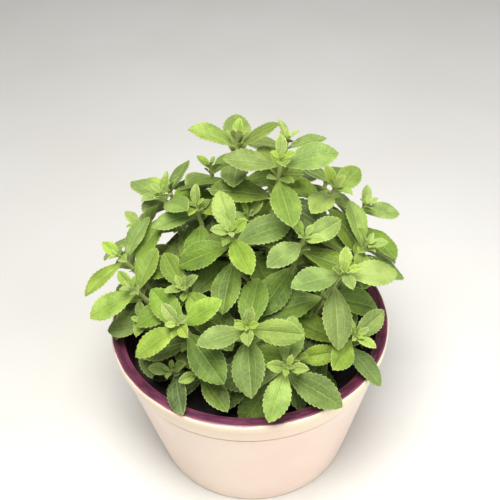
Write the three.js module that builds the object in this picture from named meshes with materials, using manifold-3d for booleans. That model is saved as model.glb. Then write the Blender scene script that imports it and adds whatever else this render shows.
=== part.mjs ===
// A bushy stevia plant in a round glazed pot. Millimetres, +Z up, the origin in the middle of the
// pot's flat foot.
import * as THREE from 'three';
import { mergeVertices } from 'three/addons/utils/BufferGeometryUtils.js';
import Module from 'manifold-3d';

const wasm = await Module();
wasm.setup();

// Pot: a tapering body, a thin groove, a flared collar and a rounded lip.
const POT_HEIGHT = 146;
const RIM_RADIUS = 121.5;
const BODY_TOP_RADIUS = 115.5;
const FOOT_RADIUS = 89;
const FOOT_BEVEL = 2;
const COLLAR_HEIGHT = 23;
const COLLAR_FOOT_RADIUS = 116.5;
const GROOVE_HEIGHT = 2;
const GROOVE_DEPTH = 1.5;
const LIP_WIDTH = 11;
const LIP_ROUND = 2.5;
const LIP_HEIGHT = 9;
const LIP_STEP = 0.8;
const SOIL_EDGE_RADIUS = 105;
const FLOOR_RADIUS = 80;
const FLOOR_THICKNESS = 11;
const POT_SIDES = 40;

// Soil: level below the lip, a low mound and its crumbs.
const SOIL_LEVEL = 118;
const SOIL_MOUND = 4;
const CRUMB_HEIGHT = 1.2;
const SOIL_RINGS = 2;
const GAP = 0.3;

// Stems: four-sided and slightly tapered, with their flats towards the leaves, closed by a bud.
// The tall ones are rooted near the middle and the low ones near the wall. Every tip leans out, by
// TIP_LEAN at the rim's radius, and turns towards the light, which stands on the -Y side.
const STEM_FOOT_RADIUS = 2.6;
const STEM_TIP_RADIUS = 1.7;
const STEM_SIDES = 4;
const STEM_STEPS = 5;
const BUD = [{ above: 3.5, radius: 2.4 }, { above: 9, radius: 0 }];
const ROOT_DEPTH = 30;
const STRAIGHT_TO = 125;
const TALLEST = 306;
const ROOT_SPREAD = { low: 0.72, high: 0.38 };
const TIP_LEAN = 0.5;
const LIGHT_SIDE = -0.3;
const BEND_AT = 0.5;
const STEM_PATCHES = 8;
const PATCH_STEPS = 4;

// Leaves, rank by rank down from the tip: how far below the tip the pair stands, the leaf's length,
// its angle from the stem, how many teeth its edge has on each side, and the points of its midrib.
const RANKS = [
  { below: 3, length: 20, pitch: 42, teeth: 2, ribs: 3 },
  { below: 9, length: 41, pitch: 70, teeth: 3, ribs: 3 },
  { below: 23, length: 50, pitch: 86, teeth: 3, ribs: 3 },
  { below: 43, length: 54, pitch: 98, teeth: 3, ribs: 3 },
  { below: 65, length: 52, pitch: 106, teeth: 3, ribs: 3 },
  { below: 88, length: 48, pitch: 110, teeth: 2, ribs: 3 },
  { below: 112, length: 44, pitch: 112, teeth: 1, ribs: 3 },
];
const LEAF_WIDTH = 0.46;
const LEAF_THICKNESS = 1.2;
const LEAF_FOLD = 0.26;
const LEAF_SAG = 0.2;
const STALK_HALF_WIDTH = 0.8;
const STALK_SUNK = 0.4;
const WEDGE = 1.2;
const TIP_BLUNTNESS = 0.88;
const TOOTH_DEPTH = 0.018;
const TEETH_START = 0.3;
const TOOTH_LEAN = 0.25;
const TIP_THINNING = 0.35;
const RIB_REACH = 0.86;
const LOWEST_NODE = 16;

// The bush: each shoot's tip, its turn (the leaf pairs stand across and along this bearing), its
// size, and by how many degrees its leaves are still closed round the tip.
const SHOOTS = [
  { tip: [-5, 58, 293], turn: -8, size: 1.0, closed: 20 },
  { tip: [29, 10, 306], turn: 0, size: 1.05 },
  { tip: [74, 31, 261], turn: 50, size: 1.0 },
  { tip: [-69, 35, 257], turn: 130, size: 1.0 },
  { tip: [-69, 80, 233], turn: 70, size: 1.0 },
  { tip: [-41, 24, 252], turn: 175, size: 0.95 },
  { tip: [2, 11, 251], turn: 120, size: 0.95 },
  { tip: [-12, -27, 266], turn: 105, size: 0.95 },
  { tip: [45, -23, 254], turn: 50, size: 0.95 },
  { tip: [75, -46, 238], turn: 10, size: 1.05 },
  { tip: [-52, -38, 219], turn: 115, size: 0.9 },
  { tip: [-54, -76, 218], turn: 25, size: 1.0 },
  { tip: [-2, -85, 220], turn: -6, size: 1.0 },
  { tip: [28, -97, 187], turn: 78, size: 1.0 },
  { tip: [84, -66, 186], turn: 50, size: 0.95 },
  { tip: [-94, -24, 208], turn: 30, size: 1.0 },
  { tip: [38, 90, 270], turn: 20, size: 1.0 },
  { tip: [-30, 90, 244], turn: 50, size: 0.95 },
  { tip: [98, -2, 227], turn: 80, size: 1.0 },
  { tip: [103, 48, 228], turn: 15, size: 1.0 },
  { tip: [74, 88, 228], turn: 65, size: 0.95 },
  { tip: [-94, 54, 209], turn: 35, size: 1.0 },
  { tip: [-42, -84, 170], turn: 120, size: 0.95 },
  { tip: [-64, -75, 164], turn: 75, size: 0.9 },
  { tip: [36, -78, 177], turn: 0, size: 0.9 },
  { tip: [-88, -36, 181], turn: 170, size: 0.95 },
  { tip: [-106, 6, 217], turn: 35, size: 1.0 },
];

// How a leaf may give way to what already stands: turned about its stem, lifted or lowered, and
// at last grown shorter. Leaves keep CLEARANCE from the leaves and stems of other shoots.
const SWINGS = [0, 14, -14, 28, -28];
const LIFTS = [0, -12, 12, -24, 24];
const SCALES = [1, 0.85, 0.7, 0.55];
const CLEARANCE = 4;
const POT_CLEARANCE = 3;
const SOIL_CLEARANCE = 6;
const PATCH_STATIONS = [0.1, 0.2, 0.3, 0.4, 0.5, 0.6, 0.7, 0.8, 0.9, 1];
const PATCH_ACROSS = [-1, -0.5, 0, 0.5, 1];

const GLAZE = new THREE.MeshStandardMaterial({ color: '#f8e6d0', roughness: 0.18, metalness: 0 });
const EARTH = new THREE.MeshStandardMaterial({ color: '#231d18', roughness: 0.95, metalness: 0 });
const LEAF_GREENS = ['#9fc25a', '#8fb94e', '#a9ca66', '#86ad49'];

const radians = THREE.MathUtils.degToRad;
const UP = new THREE.Vector3(0, 0, 1);
const QUARTER = Math.PI / 2;

// The same run of draws each time, between low and high.
let seed = 11;
function draw(low, high) {
  seed = (seed * 1664525 + 1013904223) % 4294967296;
  return low + ((high - low) * seed) / 4294967296;
}

// --- solids -------------------------------------------------------------------------------------

function solidOf(geometry) {
  const bare = geometry.clone();
  bare.deleteAttribute('normal');
  bare.deleteAttribute('uv');
  const merged = mergeVertices(bare, 1e-4);
  const corners = [];
  for (let i = 0; i < merged.index.count; i += 3) {
    const [a, b, c] = [0, 1, 2].map((k) => merged.index.getX(i + k));
    if (a !== b && b !== c && c !== a) corners.push(a, b, c);
  }
  return new wasm.Manifold(new wasm.Mesh({
    numProp: 3,
    vertProperties: new Float32Array(merged.attributes.position.array),
    triVerts: new Uint32Array(corners),
  }));
}

function geometryOf(solid) {
  const mesh = solid.getMesh();
  const geometry = new THREE.BufferGeometry();
  geometry.setAttribute('position', new THREE.BufferAttribute(mesh.vertProperties, 3));
  geometry.setIndex(new THREE.BufferAttribute(mesh.triVerts, 1));
  geometry.computeVertexNormals();
  return geometry;
}

function lathe(profile) {
  const points = profile.map(([r, z]) => new THREE.Vector2(r, z));
  return new THREE.LatheGeometry(points, POT_SIDES).rotateX(QUARTER);
}

// --- pot ----------------------------------------------------------------------------------------

// The radius of the pot's inside, which is a straight cone up to the soil and on to the lip.
function innerRadius(z) {
  const slope = (SOIL_EDGE_RADIUS - FLOOR_RADIUS) / (SOIL_LEVEL - FLOOR_THICKNESS);
  return Math.min(FLOOR_RADIUS + slope * (z - FLOOR_THICKNESS), RIM_RADIUS - LIP_WIDTH);
}

function potGeometry() {
  const collarFoot = POT_HEIGHT - COLLAR_HEIGHT;
  const lipFoot = POT_HEIGHT - LIP_HEIGHT;
  const lipInside = RIM_RADIUS - LIP_WIDTH;
  return lathe([
    [0, 0],
    [FOOT_RADIUS - FOOT_BEVEL, 0],
    [FOOT_RADIUS, FOOT_BEVEL],
    [BODY_TOP_RADIUS, collarFoot - GROOVE_HEIGHT],
    [BODY_TOP_RADIUS - GROOVE_DEPTH, collarFoot - GROOVE_HEIGHT / 2],
    [COLLAR_FOOT_RADIUS, collarFoot],
    [RIM_RADIUS - LIP_STEP * 2, lipFoot],
    [RIM_RADIUS - LIP_STEP, lipFoot + LIP_STEP],
    [RIM_RADIUS, POT_HEIGHT - LIP_ROUND],
    [RIM_RADIUS - LIP_ROUND, POT_HEIGHT],
    [lipInside + LIP_ROUND, POT_HEIGHT],
    [lipInside, POT_HEIGHT - LIP_ROUND],
    [SOIL_EDGE_RADIUS, SOIL_LEVEL],
    [FLOOR_RADIUS, FLOOR_THICKNESS],
    [0, FLOOR_THICKNESS],
  ]);
}

// --- soil ---------------------------------------------------------------------------------------

function crumb(x, y) {
  return Math.sin(x / 5.1 + 1.3) * Math.cos(y / 6.3) + 0.6 * Math.sin((x + 1.7 * y) / 8.2);
}

function soilHeight(x, y) {
  const share = Math.min(Math.hypot(x, y) / SOIL_EDGE_RADIUS, 1);
  return SOIL_LEVEL + (1 - share * share) * SOIL_MOUND + (1 - share) * CRUMB_HEIGHT * crumb(x, y);
}

// A plug of soil whose inner rings are lifted to the soil's height.
function soilGeometry() {
  const floor = FLOOR_THICKNESS + GAP;
  const edge = SOIL_EDGE_RADIUS - GAP;
  const top = SOIL_LEVEL + SOIL_MOUND;
  const profile = [[0, floor], [innerRadius(floor) - GAP, floor], [edge, SOIL_LEVEL]];
  for (let ring = SOIL_RINGS - 0.5; ring > 0; ring--) {
    profile.push([(edge * ring) / SOIL_RINGS, top]);
  }
  profile.push([0, top]);
  const geometry = lathe(profile);
  const at = geometry.attributes.position;
  for (let i = 0; i < at.count; i++) {
    if (at.getZ(i) > SOIL_LEVEL + GAP) at.setZ(i, soilHeight(at.getX(i), at.getY(i)));
  }
  return geometry;
}

// --- stems --------------------------------------------------------------------------------------

// A stem leans out from its foot and turns up again towards its tip.
function stemCurve(shoot) {
  const [x, y, z] = shoot.tip;
  const tip = new THREE.Vector3(x, y, z);
  const grown = (z - STRAIGHT_TO) / (TALLEST - STRAIGHT_TO);
  const spread = THREE.MathUtils.lerp(ROOT_SPREAD.low, ROOT_SPREAD.high, grown);
  const foot = new THREE.Vector3(x * spread, y * spread, STRAIGHT_TO);
  const lean = TIP_LEAN / RIM_RADIUS;
  const up = new THREE.Vector3(x * lean, y * lean + LIGHT_SIDE, 1).normalize();
  const bend = tip.clone().addScaledVector(up, -(z - STRAIGHT_TO) * BEND_AT);
  return new THREE.QuadraticBezierCurve3(foot, bend, tip);
}

function stemRadius(share) {
  return STEM_FOOT_RADIUS + (STEM_TIP_RADIUS - STEM_FOOT_RADIUS) * share;
}

// A point in the middle of the stem, which runs straight from ring to ring.
function stemMiddle(curve, share) {
  const step = Math.min(Math.floor(share * STEM_STEPS), STEM_STEPS - 1);
  const below = curve.getPoint(step / STEM_STEPS);
  const above = curve.getPoint((step + 1) / STEM_STEPS);
  return below.lerp(above, share * STEM_STEPS - step);
}

// The rings of a stem from its root to the point of its bud.
function stemRings(shoot, curve) {
  const root = curve.v0.clone().setZ(STRAIGHT_TO - ROOT_DEPTH);
  const rings = [{ centre: root, axis: UP, radius: STEM_FOOT_RADIUS }];
  for (let step = 0; step <= STEM_STEPS; step++) {
    const share = step / STEM_STEPS;
    const axis = curve.getTangent(share);
    rings.push({ centre: curve.getPoint(share), axis, radius: stemRadius(share) });
  }
  const axis = curve.getTangent(1);
  for (const { above, radius } of BUD) {
    const centre = curve.v2.clone().addScaledVector(axis, above * shoot.size);
    rings.push({ centre, axis, radius: radius * shoot.size });
  }
  return rings;
}

// A cylinder whose rings are set round the stem's own, corner by corner.
function stemGeometry(shoot, curve) {
  const rings = stemRings(shoot, curve);
  const height = rings.length - 1;
  const geometry = new THREE.CylinderGeometry(1, 1, height, STEM_SIDES, height);
  const at = geometry.attributes.position;
  for (let i = 0; i < at.count; i++) {
    const { centre, axis, radius } = rings[Math.round(at.getY(i) + height / 2)];
    const turned = Math.atan2(-at.getZ(i), at.getX(i)) + cornerTurn(shoot);
    const out = radius * Math.hypot(at.getX(i), at.getZ(i));
    const across = new THREE.Vector3(1, 0, 0).addScaledVector(axis, -axis.x).normalize();
    const along = axis.clone().cross(across);
    const point = centre.clone()
      .addScaledVector(across, out * Math.cos(turned))
      .addScaledVector(along, out * Math.sin(turned));
    at.setXYZ(i, point.x, point.y, point.z);
  }
  return geometry;
}

function cornerTurn(shoot) {
  return radians(shoot.turn) + Math.PI / STEM_SIDES;
}

function holeGeometry(shoot, curve) {
  const depth = ROOT_DEPTH + GAP;
  const radius = STEM_FOOT_RADIUS + GAP / Math.cos(Math.PI / STEM_SIDES);
  const hole = new THREE.CylinderGeometry(radius, radius, 2 * depth, STEM_SIDES);
  hole.rotateX(QUARTER).rotateZ(cornerTurn(shoot));
  return hole.translate(curve.v0.x, curve.v0.y, STRAIGHT_TO);
}

// --- leaves -------------------------------------------------------------------------------------

// Half the blade's width at a share of its length: a narrow wedge, then a full, bluntly pointed end.
function outline(share) {
  const widest = WEDGE / (WEDGE + TIP_BLUNTNESS);
  const full = widest ** WEDGE * (1 - widest) ** TIP_BLUNTNESS;
  return (share ** WEDGE * (1 - share) ** TIP_BLUNTNESS) / full;
}

// How far along its stem a rank of leaves stands, as a share: the tip's end runs evenly.
function stationOf(curve, rank, size) {
  return 1 - (rank.below * size) / (2 * curve.v1.distanceTo(curve.v2));
}

// Where a leaf's base, direction, side and upper face lie, once it is turned and lifted.
function leafFrame(curve, rank, leaf, swing, lift) {
  const share = stationOf(curve, rank, leaf.size);
  const axis = curve.getTangent(share);
  const bearing = radians(leaf.bearing + swing);
  const out = new THREE.Vector3(Math.cos(bearing), Math.sin(bearing), 0);
  out.addScaledVector(axis, -out.dot(axis)).normalize();
  const pitch = radians(leaf.pitch + lift);
  const side = axis.clone().cross(out);
  const ahead = axis.clone().multiplyScalar(Math.cos(pitch)).addScaledVector(out, Math.sin(pitch));
  const face = ahead.clone().cross(side);
  const roll = radians(leaf.roll);
  const rolled = side.clone().multiplyScalar(Math.cos(roll)).addScaledVector(face, Math.sin(roll));
  const base = stemMiddle(curve, share).addScaledVector(out, stemRadius(share) * STALK_SUNK);
  return { base, ahead, side: rolled, face: ahead.clone().cross(rolled) };
}

// Which way the upper face looks at a share of the length, as the blade arches over.
function bladeFace(frame, leaf, share) {
  return frame.face.clone().addScaledVector(frame.ahead, 2 * leaf.sag * share).normalize();
}

// A point of the blade: share runs from base to tip, across from -1 to 1 over the width.
function bladePoint(frame, leaf, length, share, across, extra = 0) {
  const point = frame.base.clone().addScaledVector(frame.ahead, length * share);
  point.addScaledVector(frame.face, -length * leaf.sag * share * share);
  const half = Math.max((length * LEAF_WIDTH * outline(share)) / 2, STALK_HALF_WIDTH) + extra;
  const tipless = share < 1 ? half : 0;
  point.addScaledVector(frame.side, across * tipless);
  return point.addScaledVector(bladeFace(frame, leaf, share), Math.abs(across) * tipless * LEAF_FOLD);
}

// One side's edge beyond the plain wedge, as share and depth: teeth that point forward, each
// ended by a notch, and half a step of plain edge at the tip.
function edgeShares(length, teeth) {
  const step = (1 - TEETH_START) / (teeth + 0.5);
  const depth = length * TOOTH_DEPTH;
  const shares = [[TEETH_START, 0]];
  for (let tooth = 1; tooth <= teeth; tooth++) {
    const notch = TEETH_START + step * tooth;
    shares.push([notch - TOOTH_LEAN * step, depth], [notch, -depth / 2]);
  }
  return shares;
}

// One blade: sharp edges shared by both faces, and a midrib that is raised on each face.
function bladeGeometry(frame, leaf, rank, length) {
  const vertices = [];
  const faces = [];
  const put = (point) => vertices.push(point.x, point.y, point.z) / 3 - 1;
  const tip = put(bladePoint(frame, leaf, length, 1, 0));
  const rib = [];
  for (let i = 0; i < rank.ribs; i++) {
    const share = (i * RIB_REACH) / (rank.ribs - 1);
    const middle = bladePoint(frame, leaf, length, share, 0);
    const half = (LEAF_THICKNESS / 2) * (1 - TIP_THINNING * share);
    const raised = bladeFace(frame, leaf, share).multiplyScalar(half);
    rib.push({ share, top: put(middle.clone().add(raised)), under: put(middle.sub(raised)) });
  }
  for (const side of [-1, 1]) {
    const edge = edgeShares(length, rank.teeth).map(([share, depth]) => (
      { share, at: put(bladePoint(frame, leaf, length, share, side, depth)) }
    ));
    edge.push({ share: 1, at: tip });
    const add = (a, b, c) => faces.push(...(side > 0 ? [a, c, b] : [a, b, c]));
    add(rib[0].top, rib[0].under, edge[0].at);
    add(rib[0].top, edge[0].at, rib[1].top);
    add(rib[0].under, rib[1].under, edge[0].at);
    zip(add, rib.slice(1), edge);
  }
  const geometry = new THREE.BufferGeometry();
  geometry.setAttribute('position', new THREE.Float32BufferAttribute(vertices, 3));
  geometry.setIndex(faces);
  return geometry;
}

// Triangles between the midrib and one edge, alike on the upper and the under face.
function zip(add, rib, edge) {
  let i = 0;
  let j = 0;
  while (j < edge.length - 1 || i < rib.length - 1) {
    const ribNext = i < rib.length - 1 ? rib[i + 1].share : Infinity;
    const edgeNext = j < edge.length - 1 ? edge[j + 1].share : Infinity;
    if (edgeNext <= ribNext || (edgeNext === 1 && ribNext === Infinity)) {
      add(rib[i].top, edge[j].at, edge[j + 1].at);
      add(rib[i].under, edge[j + 1].at, edge[j].at);
      j += 1;
    } else {
      add(rib[i].top, edge[j].at, rib[i + 1].top);
      add(rib[i].under, rib[i + 1].under, edge[j].at);
      i += 1;
    }
  }
}

// --- room for the leaves ------------------------------------------------------------------------

const standing = [];

function patchOf(points, owner) {
  const middle = new THREE.Vector3();
  points.forEach((point) => middle.add(point));
  middle.divideScalar(points.length);
  const reach = Math.max(...points.map((point) => point.distanceTo(middle)));
  return { points, owner, middle, reach };
}

function leafPatch(frame, leaf, length, owner) {
  const points = [];
  for (const share of PATCH_STATIONS) {
    for (const across of PATCH_ACROSS) {
      points.push(bladePoint(frame, leaf, length, share, across));
    }
  }
  return patchOf(points, owner);
}

function clearOfPot(point) {
  if (point.z > POT_HEIGHT + POT_CLEARANCE) return true;
  const radius = Math.hypot(point.x, point.y);
  if (radius > RIM_RADIUS + POT_CLEARANCE) return true;
  return radius < innerRadius(point.z) - POT_CLEARANCE && point.z > SOIL_LEVEL + SOIL_CLEARANCE;
}

function isClear(patch) {
  if (!patch.points.every(clearOfPot)) return false;
  return standing.every((other) => {
    if (other.owner === patch.owner) return true;
    const far = patch.reach + other.reach + CLEARANCE;
    if (patch.middle.distanceTo(other.middle) > far) return true;
    return patch.points.every(
      (a) => other.points.every((b) => a.distanceTo(b) > CLEARANCE),
    );
  });
}

// The first way for a leaf to stand that crosses nothing, or none.
function settle(curve, rank, leaf, owner) {
  for (const scale of SCALES) {
    const length = rank.length * leaf.size * leaf.grown * scale;
    for (const lift of LIFTS) {
      for (const swing of SWINGS) {
        const frame = leafFrame(curve, rank, leaf, swing, lift);
        const patch = leafPatch(frame, leaf, length, owner);
        if (isClear(patch)) {
          standing.push(patch);
          return bladeGeometry(frame, leaf, rank, length);
        }
      }
    }
  }
  return null;
}

function standStem(curve, owner) {
  const points = curve.getPoints(STEM_PATCHES * PATCH_STEPS);
  for (let first = 0; first < points.length - 1; first += PATCH_STEPS) {
    standing.push(patchOf(points.slice(first, first + PATCH_STEPS + 1), owner));
  }
}

// Every leaf of the bush, rank by rank from the tips down, so that the top leaves choose first.
// Nodes too near the soil are bare.
function growLeaves(curves) {
  const leaves = SHOOTS.map(() => []);
  curves.forEach(standStem);
  RANKS.forEach((rank, index) => {
    SHOOTS.forEach((shoot, owner) => {
      for (const half of [0, 180]) {
        const leaf = {
          size: shoot.size,
          bearing: shoot.turn + (index + 1) * 90 + half + draw(-9, 9),
          pitch: rank.pitch - (shoot.closed ?? 0) + draw(-7, 7),
          grown: draw(0.9, 1.06),
          roll: draw(-14, 14),
          sag: LEAF_SAG * draw(0.6, 1.3),
        };
        const curve = curves[owner];
        const share = stationOf(curve, rank, shoot.size);
        if (share < 0 || curve.getPoint(share).z < SOIL_LEVEL + LOWEST_NODE) continue;
        const blade = settle(curve, rank, leaf, owner);
        if (blade) leaves[owner].push(blade);
      }
    });
  });
  return leaves;
}

// --- the plant ----------------------------------------------------------------------------------

function mesh(name, geometry, material) {
  const made = new THREE.Mesh(geometry, material);
  made.name = name;
  return made;
}

const plant = new THREE.Group();
const curves = SHOOTS.map(stemCurve);

plant.add(mesh('pot', potGeometry(), GLAZE));

let earth = solidOf(soilGeometry());
SHOOTS.forEach((shoot, index) => {
  earth = earth.subtract(solidOf(holeGeometry(shoot, curves[index])));
});
plant.add(mesh('soil', geometryOf(earth), EARTH));

const bush = new THREE.Group();
growLeaves(curves).forEach((blades, index) => {
  let shoot = solidOf(stemGeometry(SHOOTS[index], curves[index]));
  blades.forEach((blade) => {
    shoot = shoot.add(solidOf(blade));
  });
  const colour = LEAF_GREENS[index % LEAF_GREENS.length];
  const material = new THREE.MeshStandardMaterial({ color: colour, roughness: 0.7, metalness: 0 });
  const name = 'leafy_stem_' + String(index + 1).padStart(2, '0');
  bush.add(mesh(name, geometryOf(shoot), material));
});
plant.add(bush);

export default plant;
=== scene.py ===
# %% [markdown]
# # A bushy stevia plant in a glazed pot
# A potted herb is three kinds of thing: a fired pot, loose soil, and soft leafy shoots. Each gets its
# own mesh, built round a packed model that already fixes every size and place. That model is loaded
# first, because everything below is measured against it.

# %% Load the fixed model
import math
from functools import partialmethod

import bpy
import numpy as np
from mathutils import Matrix, Vector, noise


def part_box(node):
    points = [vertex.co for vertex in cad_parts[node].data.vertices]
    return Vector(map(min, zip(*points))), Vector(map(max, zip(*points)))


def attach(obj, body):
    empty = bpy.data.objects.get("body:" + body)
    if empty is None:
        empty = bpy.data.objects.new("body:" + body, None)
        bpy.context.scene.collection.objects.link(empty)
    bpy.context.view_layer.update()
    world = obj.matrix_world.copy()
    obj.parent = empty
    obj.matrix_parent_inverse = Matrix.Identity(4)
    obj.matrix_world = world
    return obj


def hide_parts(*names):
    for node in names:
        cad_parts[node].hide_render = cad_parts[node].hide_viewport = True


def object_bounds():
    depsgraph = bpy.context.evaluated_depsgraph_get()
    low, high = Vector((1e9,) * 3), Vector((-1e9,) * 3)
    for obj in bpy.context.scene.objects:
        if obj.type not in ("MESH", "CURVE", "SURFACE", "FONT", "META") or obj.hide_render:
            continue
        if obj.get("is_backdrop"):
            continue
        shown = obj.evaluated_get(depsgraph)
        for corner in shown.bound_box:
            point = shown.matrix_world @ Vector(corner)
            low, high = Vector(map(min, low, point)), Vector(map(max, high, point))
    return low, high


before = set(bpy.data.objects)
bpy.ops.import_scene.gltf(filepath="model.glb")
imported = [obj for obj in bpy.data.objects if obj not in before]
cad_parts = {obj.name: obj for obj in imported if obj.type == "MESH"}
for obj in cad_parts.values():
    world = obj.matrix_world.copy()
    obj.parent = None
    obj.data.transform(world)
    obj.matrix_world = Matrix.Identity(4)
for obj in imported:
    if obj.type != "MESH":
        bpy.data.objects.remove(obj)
model_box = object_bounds()
MM = 0.001
print("model box in mm:", [[round(c / MM) for c in corner] for corner in model_box])

# %% [markdown]
# ## The camera
# A camera is easiest to place from what it should see: where it stands, how far it looks down and
# how long its lens is. It sees the plant from in front and above, with a very slight roll.

# %% Camera
CAMERA_AT = (2.4, -540.0, 688.4)
LOOKS_DOWN = math.radians(40.77)
ROLL = math.radians(2.03)
FOCAL_PIXELS = 870.0
PICTURE_PIXELS = 500.0
SENSOR_WIDTH = 36.0


def make_camera():
    """Looks along +Y and down, and is rolled about the way that it looks."""
    data = bpy.data.cameras.new("camera")
    data.sensor_width = SENSOR_WIDTH
    data.lens = SENSOR_WIDTH * FOCAL_PIXELS / PICTURE_PIXELS
    camera = bpy.data.objects.new("camera", data)
    tilt = Matrix.Rotation(math.pi / 2 - LOOKS_DOWN, 4, "X")
    roll = Matrix.Rotation(-ROLL, 4, "Z")
    camera.matrix_world = Matrix.Translation(Vector(CAMERA_AT) * MM) @ tilt @ roll
    bpy.context.scene.collection.objects.link(camera)
    bpy.context.scene.camera = camera
    return camera


camera = make_camera()
print("camera lens in mm:", round(camera.data.lens, 2))

# %% [markdown]
# ## Faces between points
# Leaves, stems and lathed rings are grids of points, so one rule lists their faces, thousands at
# once. A tube is a grid whose last column joins its first, with a fan of triangles at each end.

# %% Face helpers


def unit(vector):
    """Vectors made one long."""
    return vector / np.linalg.norm(vector, axis=-1, keepdims=True)


def ring_angles(sides):
    """The angles of points spaced evenly round a ring."""
    return np.arange(sides) * 2 * math.pi / sides


def grid_faces(rows, columns, first=0, flip=False, closed=False):
    """Quads over points stored row by row. A closed grid joins its last column to its first."""
    row = np.arange(rows - 1)[:, None]
    column = np.arange(columns if closed else columns - 1)[None, :]
    ahead = (column + 1) % columns
    a = row * columns + column
    b = row * columns + ahead
    c = (row + 1) * columns + ahead
    d = (row + 1) * columns + column
    quads = np.stack([a, d, c, b] if flip else [a, b, c, d], axis=-1).reshape(-1, 4)
    return quads + first


def tube_faces(rings, sides):
    """Blocks of faces of a closed tube: its points are the rings, then one point for each end."""
    here = np.arange(sides)
    ahead = (here + 1) % sides
    last = (rings - 1) * sides
    end = rings * sides
    return [
        grid_faces(rings, sides, closed=True),
        np.stack([np.full(sides, end), ahead, here], axis=-1),
        np.stack([np.full(sides, end + 1), last + here, last + ahead], axis=-1),
    ]


def face_list(blocks):
    """Blocks of faces as one list, where faces may have different numbers of corners."""
    return [face for block in blocks for face in block.tolist()]


print("a tube of 3 rings of 8 points has", len(face_list(tube_faces(3, 8))), "faces")

# %% [markdown]
# ## From arrays to a mesh
# One helper turns points and faces into an object. Values kept for each point, such as where on a
# leaf it lies, become attributes that the shaders read later.

# %% Mesh helper


def make_mesh(name, points, faces, materials=(), face_slots=None, values=None):
    """Makes an object from points in mm, faces as index lists, and named per-point vectors."""
    mesh = bpy.data.meshes.new(name)
    mesh.from_pydata((np.asarray(points) * MM).tolist(), [], faces)
    for material in materials:
        mesh.materials.append(material)
    if face_slots is not None:
        mesh.polygons.foreach_set("material_index", np.asarray(face_slots, dtype=np.int32))
    for label, data in (values or {}).items():
        attribute = mesh.attributes.new(label, "FLOAT_VECTOR", "POINT")
        attribute.data.foreach_set("vector", np.asarray(data, dtype=np.float32).ravel())
    mesh.polygons.foreach_set("use_smooth", np.ones(len(mesh.polygons), dtype=bool))
    mesh.update()
    piece = bpy.data.objects.new(name, mesh)
    bpy.context.scene.collection.objects.link(piece)
    return piece


print("a mesh keeps its points in metres, at", MM, "to the mm")

# %% [markdown]
# ## Writing a node tree
# Materials are node trees. Written link by link they are long and hide the idea, so this class makes
# a node with its inputs in one call, and names the steps that come again and again.

# %% Node helpers


class Tree:
    """A node tree being written."""

    def __init__(self, tree):
        self.tree = tree

    def add(self, kind, inputs=None, **settings):
        """Makes a node. Its inputs go by number or by name, and may be values or links."""
        node = self.tree.nodes.new(kind)
        for key, value in settings.items():
            setattr(node, key, value)
        for key, value in (inputs or {}).items():
            self.fill(node.inputs[key], value)
        return node

    def fill(self, socket, value):
        if isinstance(value, bpy.types.Node):
            value = value.outputs[0]
        if isinstance(value, bpy.types.NodeSocket):
            self.tree.links.new(value, socket)
        else:
            socket.default_value = value

    def math(self, operation, *values):
        return self.add("ShaderNodeMath", dict(enumerate(values)), operation=operation).outputs[0]

    plus = partialmethod(math, "ADD")
    minus = partialmethod(math, "SUBTRACT")
    times = partialmethod(math, "MULTIPLY")
    larger = partialmethod(math, "MAXIMUM")
    without_sign = partialmethod(math, "ABSOLUTE")

    def round_zero(self, value, size):
        """A value round one half, such as noise, moved to zero and made so large."""
        return self.times(self.minus(value, 0.5), size)

    def ramp(self, value, low, high, to_low=0.0, to_high=1.0):
        """A smooth step from to_low at low to to_high at high."""
        numbered = dict(enumerate((value, low, high, to_low, to_high)))
        return self.add("ShaderNodeMapRange", numbered, interpolation_type="SMOOTHSTEP").outputs[0]

    def between(self, share, a, b):
        """A number that goes from a to b as the share goes from 0 to 1."""
        return self.add("ShaderNodeMix", {0: share, 2: a, 3: b}).outputs[0]

    def mix(self, share, a, b):
        """A colour that goes from a to b as the share goes from 0 to 1."""
        return self.add("ShaderNodeMix", {0: share, 6: a, 7: b}, data_type="RGBA").outputs[2]

    def layers(self, colour, *layers):
        """A colour with others laid over it in turn, each with its mask and its strength."""
        for over, mask, strength in layers:
            colour = self.mix(self.times(mask, strength), colour, over)
        return colour

    def noise(self, vector, scale, detail=3.0, roughness=0.5):
        inputs = {"Vector": vector, "Scale": scale, "Detail": detail, "Roughness": roughness}
        return self.add("ShaderNodeTexNoise", inputs).outputs[0]

    def place(self):
        """Where a point lies in its object, in metres."""
        return self.add("ShaderNodeTexCoord").outputs["Object"]

    def read(self, name):
        """The vector that the mesh keeps for each point under a name."""
        return self.add("ShaderNodeAttribute", attribute_name=name).outputs["Vector"]

    def parts(self, vector):
        return self.add("ShaderNodeSeparateXYZ", {0: vector}).outputs

    def group(self, group, inputs):
        return self.add("ShaderNodeGroup", inputs, node_tree=group).outputs


print("node helpers:", [name for name in vars(Tree) if not name.startswith("_")])

# %% [markdown]
# ## Groups, materials and colours
# A shader group is a reusable effect with named sockets. It puts out only masks, colours and
# heights, and the shader itself stays in the material. Every surface is finished alike, with a
# colour, a roughness and a bump that all change over it.

# %% Groups, materials and colours
FLOAT = "NodeSocketFloat"
COLOUR = "NodeSocketColor"
VECTOR = "NodeSocketVector"


def make_group(name, inputs, outputs):
    """A shader group. Inputs map a name to a socket's kind, or to the number that it starts from."""
    group = bpy.data.node_groups.new(name, "ShaderNodeTree")
    for label, kind in inputs.items():
        number = isinstance(kind, float)
        socket = group.interface.new_socket(label, in_out="INPUT", socket_type=FLOAT if number else kind)
        if number:
            socket.default_value = kind
    for label, kind in outputs.items():
        group.interface.new_socket(label, in_out="OUTPUT", socket_type=kind)
    tree = Tree(group)
    return tree, tree.add("NodeGroupInput").outputs, tree.add("NodeGroupOutput").inputs


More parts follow.
